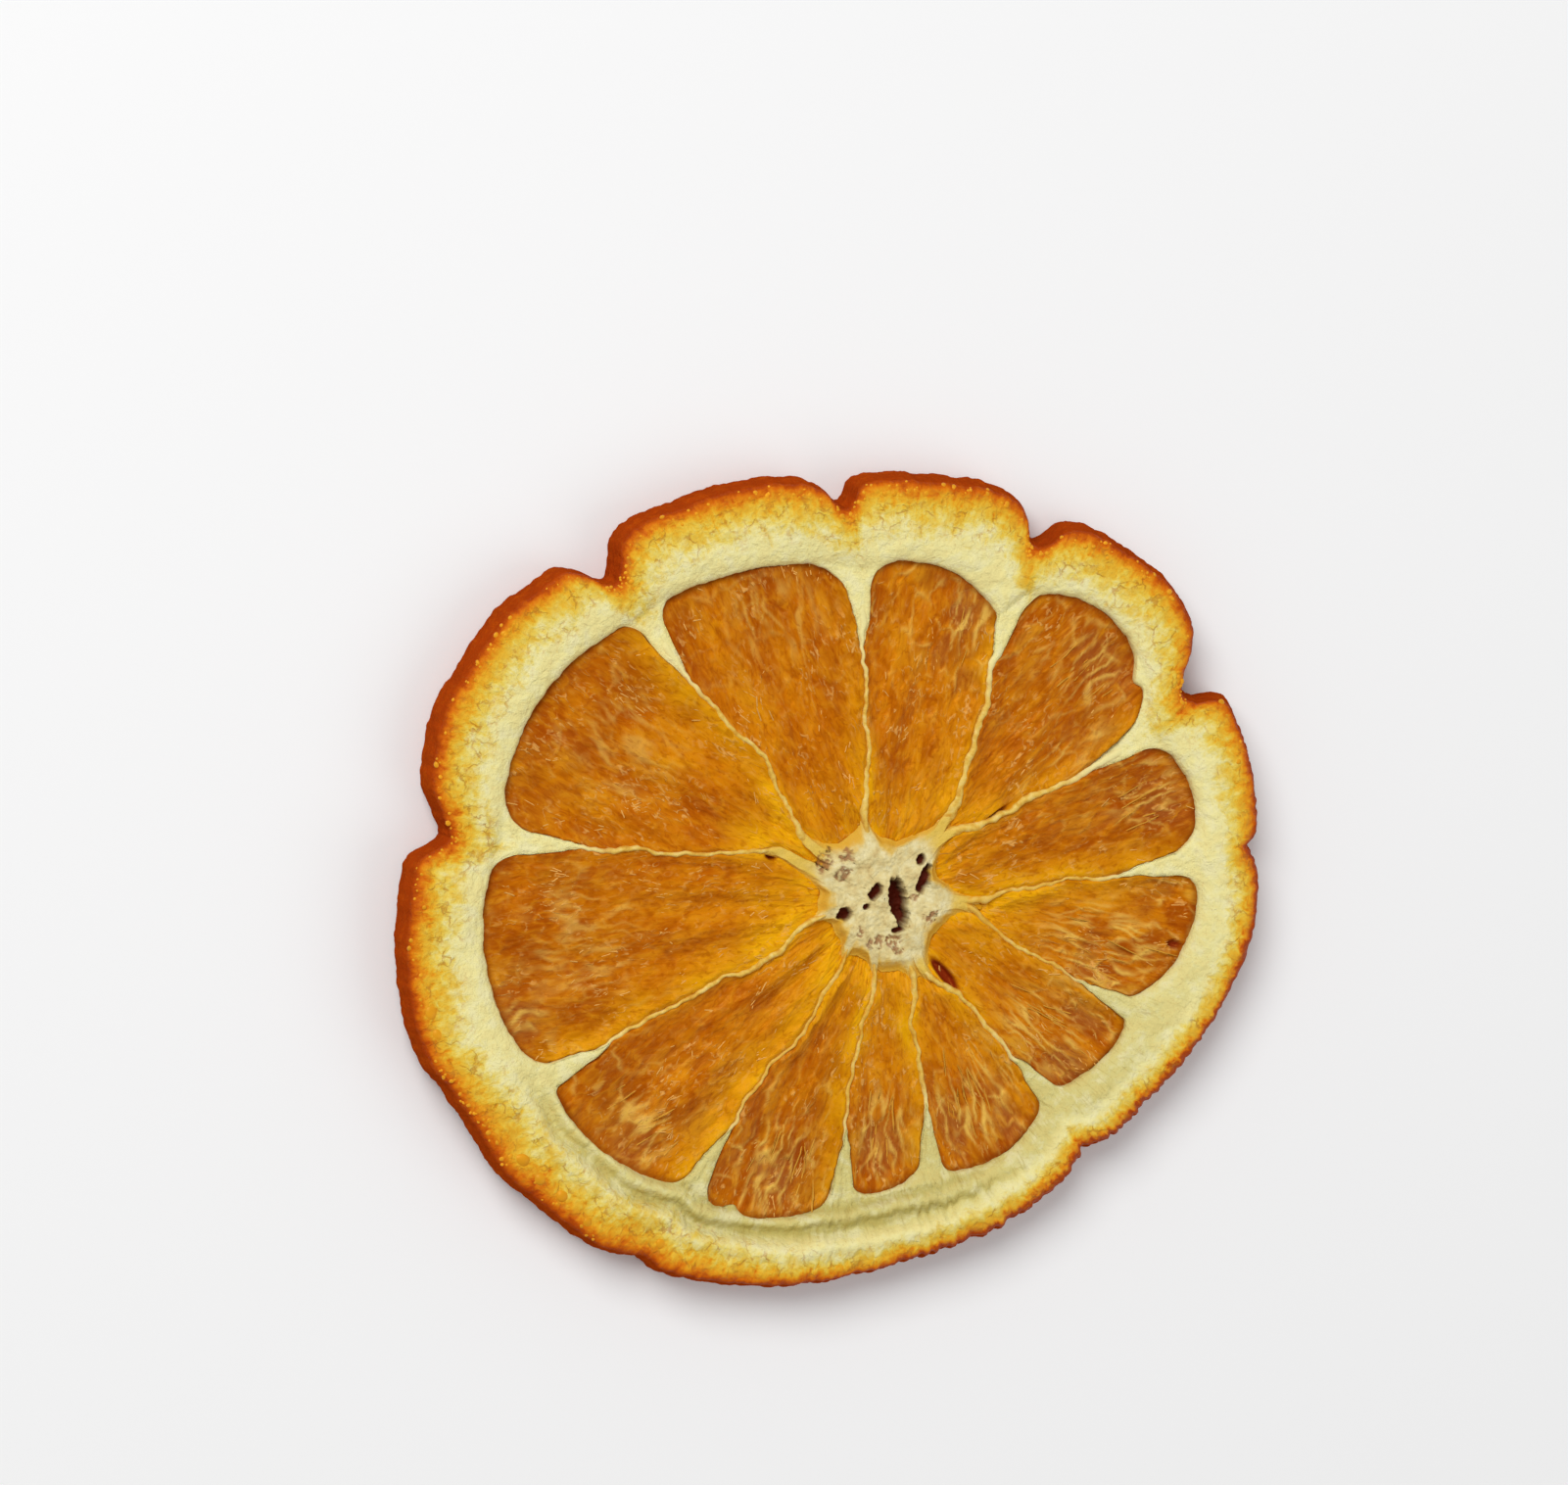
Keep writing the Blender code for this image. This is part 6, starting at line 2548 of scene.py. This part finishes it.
@dataclass
class Glands:
    """Oil glands cut open along the orange band, as low glossy beads."""

    skin: RindSkin
    finish: PlainFinish = PlainFinish("gland", srgb(232, 158, 30), 0.35, specular=0.4)
    count: int = 300
    bare_bearing: float = 305.0
    bare_reach: float = 75.0
    insets: tuple = (0.2, 1.3)
    least: float = 0.2
    more: float = 0.32
    big_insets: tuple = (0.5, 1.6)
    big_sizes: tuple = (0.95, 1.25)
    big_from: float = 0.8
    big_sink: float = 0.2
    sink: float = 0.18
    flatness: float = 0.62
    wave: float = 0.12

    def build(self) -> None:
        """Make the piece."""
        draw = np.random.default_rng(311)
        skin = self.skin
        away = np.abs(bearing_gap(skin.bearing, self.bare_bearing))
        clear = np.flatnonzero(away > self.bare_reach)
        column = clear[draw.integers(0, len(clear), self.count)]
        inset = draw.uniform(*self.insets, self.count)
        size = self.least + self.more * draw.uniform(0.0, 1.0, self.count) ** 2
        for bearing, radius in GLAND_BEADS:
            nearest = int(np.argmin(np.abs(bearing_gap(skin.bearing, bearing))))
            column = np.append(column, nearest)
            inset = np.append(inset, np.clip(skin.top[nearest] - radius, *self.big_insets))
            size = np.append(size, draw.uniform(*self.big_sizes))
        places = np.array([skin.top_row(skin.top - depth)[at] for at, depth in zip(column, inset)])
        places[:, 2] -= np.where(size > self.big_from, self.big_sink, self.sink) * size
        turns = np.stack((draw.uniform(-0.3, 0.3, len(size)), draw.uniform(-0.3, 0.3, len(size)),
                          draw.uniform(0.0, math.tau, len(size))), -1)
        sizes = np.stack((size * draw.uniform(0.8, 1.3, len(size)), size, self.flatness * size), -1)
        Strewn("oil_glands", Form.BEAD, self.finish.make(), Slot.PEEL, places, turns, sizes,
               self.wave).build()


@dataclass(frozen=True)
class Lamp:
    """A round soft light that points at the slice: name, place and width in metres, and power in watts."""

    name: str
    place: tuple
    width: float
    power: float


@dataclass
class Studio:
    """Floor, lights and camera."""

    floor_half: float = 0.9
    floor_grey: float = 0.93
    lamps: tuple = (Lamp("key", (-0.32, 0.42, 0.62), 0.5, 4.4), Lamp("fill", (0.55, -0.3, 0.6), 0.7, 1.35))
    surround: float = 0.38
    camera_lens: float = 120.0
    camera_sensor: float = 36.0
    camera_clip: tuple = (0.01, 10.0)
    pixels: tuple = (1601.0, 1516.0)
    pixels_a_millimetre: float = 13.0
    origin_pixel: tuple = (860.5, 901.0)
    target_height: float = 4.3
    tilt_left: float = 14.0
    tilt_up: float = 4.0

    def build(self) -> None:
        """Set everything up."""
        self.add_floor()
        for lamp in self.lamps:
            self.add_lamp(lamp)
        self.add_surround()
        self.add_camera()
        scene = bpy.context.scene
        scene.view_settings.view_transform = "Standard"
        scene.view_settings.look = "None"

    def add_floor(self) -> None:
        """Pale plain floor under the slice."""
        half = self.floor_half
        mesh = bpy.data.meshes.new("floor")
        mesh.from_pydata([(-half, -half, 0.0), (half, -half, 0.0), (half, half, 0.0), (-half, half, 0.0)],
                         [], [(0, 1, 2, 3)])
        shader = Shader("floor")
        shader.set(Base_Color=(*[self.floor_grey] * 3, 1.0), Roughness=0.9, Specular_IOR_Level=0.1)
        mesh.materials.append(shader.material)
        floor = bpy.data.objects.new("floor", mesh)
        bpy.context.scene.collection.objects.link(floor)

    @staticmethod
    def add_lamp(lamp: Lamp) -> None:
        """One soft light, turned toward the slice.

        Args:
            lamp: the light.
        """
        disk = bpy.data.lights.new(lamp.name, "AREA")
        disk.shape = "DISK"
        disk.size = lamp.width
        disk.energy = lamp.power
        made = bpy.data.objects.new(lamp.name, disk)
        made.location = lamp.place
        made.rotation_mode = "QUATERNION"
        made.rotation_quaternion = (-Vector(lamp.place)).to_track_quat("-Z", "Y")
        bpy.context.scene.collection.objects.link(made)

    def add_surround(self) -> None:
        """Pale even light from all round."""
        world = bpy.data.worlds.new("surround")
        world.use_nodes = True
        background = world.node_tree.nodes["Background"]
        background.inputs["Color"].default_value = (1.0, 1.0, 1.0, 1.0)
        background.inputs["Strength"].default_value = self.surround
        bpy.context.scene.world = world

    def add_camera(self) -> None:
        """Camera that sets the slice on the same pixels as in the photo."""
        left, up = math.radians(self.tilt_left), math.radians(self.tilt_up)
        back = Vector((-math.sin(left) * math.cos(up), math.sin(up), math.cos(left) * math.cos(up)))
        right = Vector((0.0, 1.0, 0.0)).cross(back).normalized()
        upward = back.cross(right)
        lens = bpy.data.cameras.new("camera")
        lens.lens = self.camera_lens
        lens.sensor_width = self.camera_sensor
        lens.clip_start, lens.clip_end = self.camera_clip
        pixel = MM / self.pixels_a_millimetre
        distance = self.pixels[0] * pixel * self.camera_lens / self.camera_sensor
        aside = (0.5 * self.pixels[0] - self.origin_pixel[0]) * pixel
        above = (self.origin_pixel[1] - 0.5 * self.pixels[1]) * pixel
        target = Vector((0.0, 0.0, self.target_height * MM)) + right * aside + upward * above
        made = bpy.data.objects.new("camera", lens)
        made.matrix_world = Matrix.Translation(target + back * distance) @ Matrix(
            (right, upward, back)).transposed().to_4x4()
        bpy.context.scene.collection.objects.link(made)
        bpy.context.scene.camera = made


def main() -> None:
    """Build every piece of the slice, then the studio."""
    logging.basicConfig(level=logging.INFO, format="%(message)s")
    plan = SlicePlan()
    skin = RindSkin(plan)
    Pith(skin, RindFinish("pith").make()).build()
    Peel(skin, RindFinish("peel").make()).build()
    pulp_finish = PulpFinish().make()
    for index in range(plan.count):
        Pulp(plan, index, pulp_finish).build()
    membrane_finish = MembraneFinish().make()
    for index in range(plan.count):
        MembraneWall(plan, index, membrane_finish).build()
    Core(plan, CoreFinish().make()).build()
    Strands(plan).build()
    Glands(skin).build()
    Studio().build()


if __name__ == "__main__":
    main()
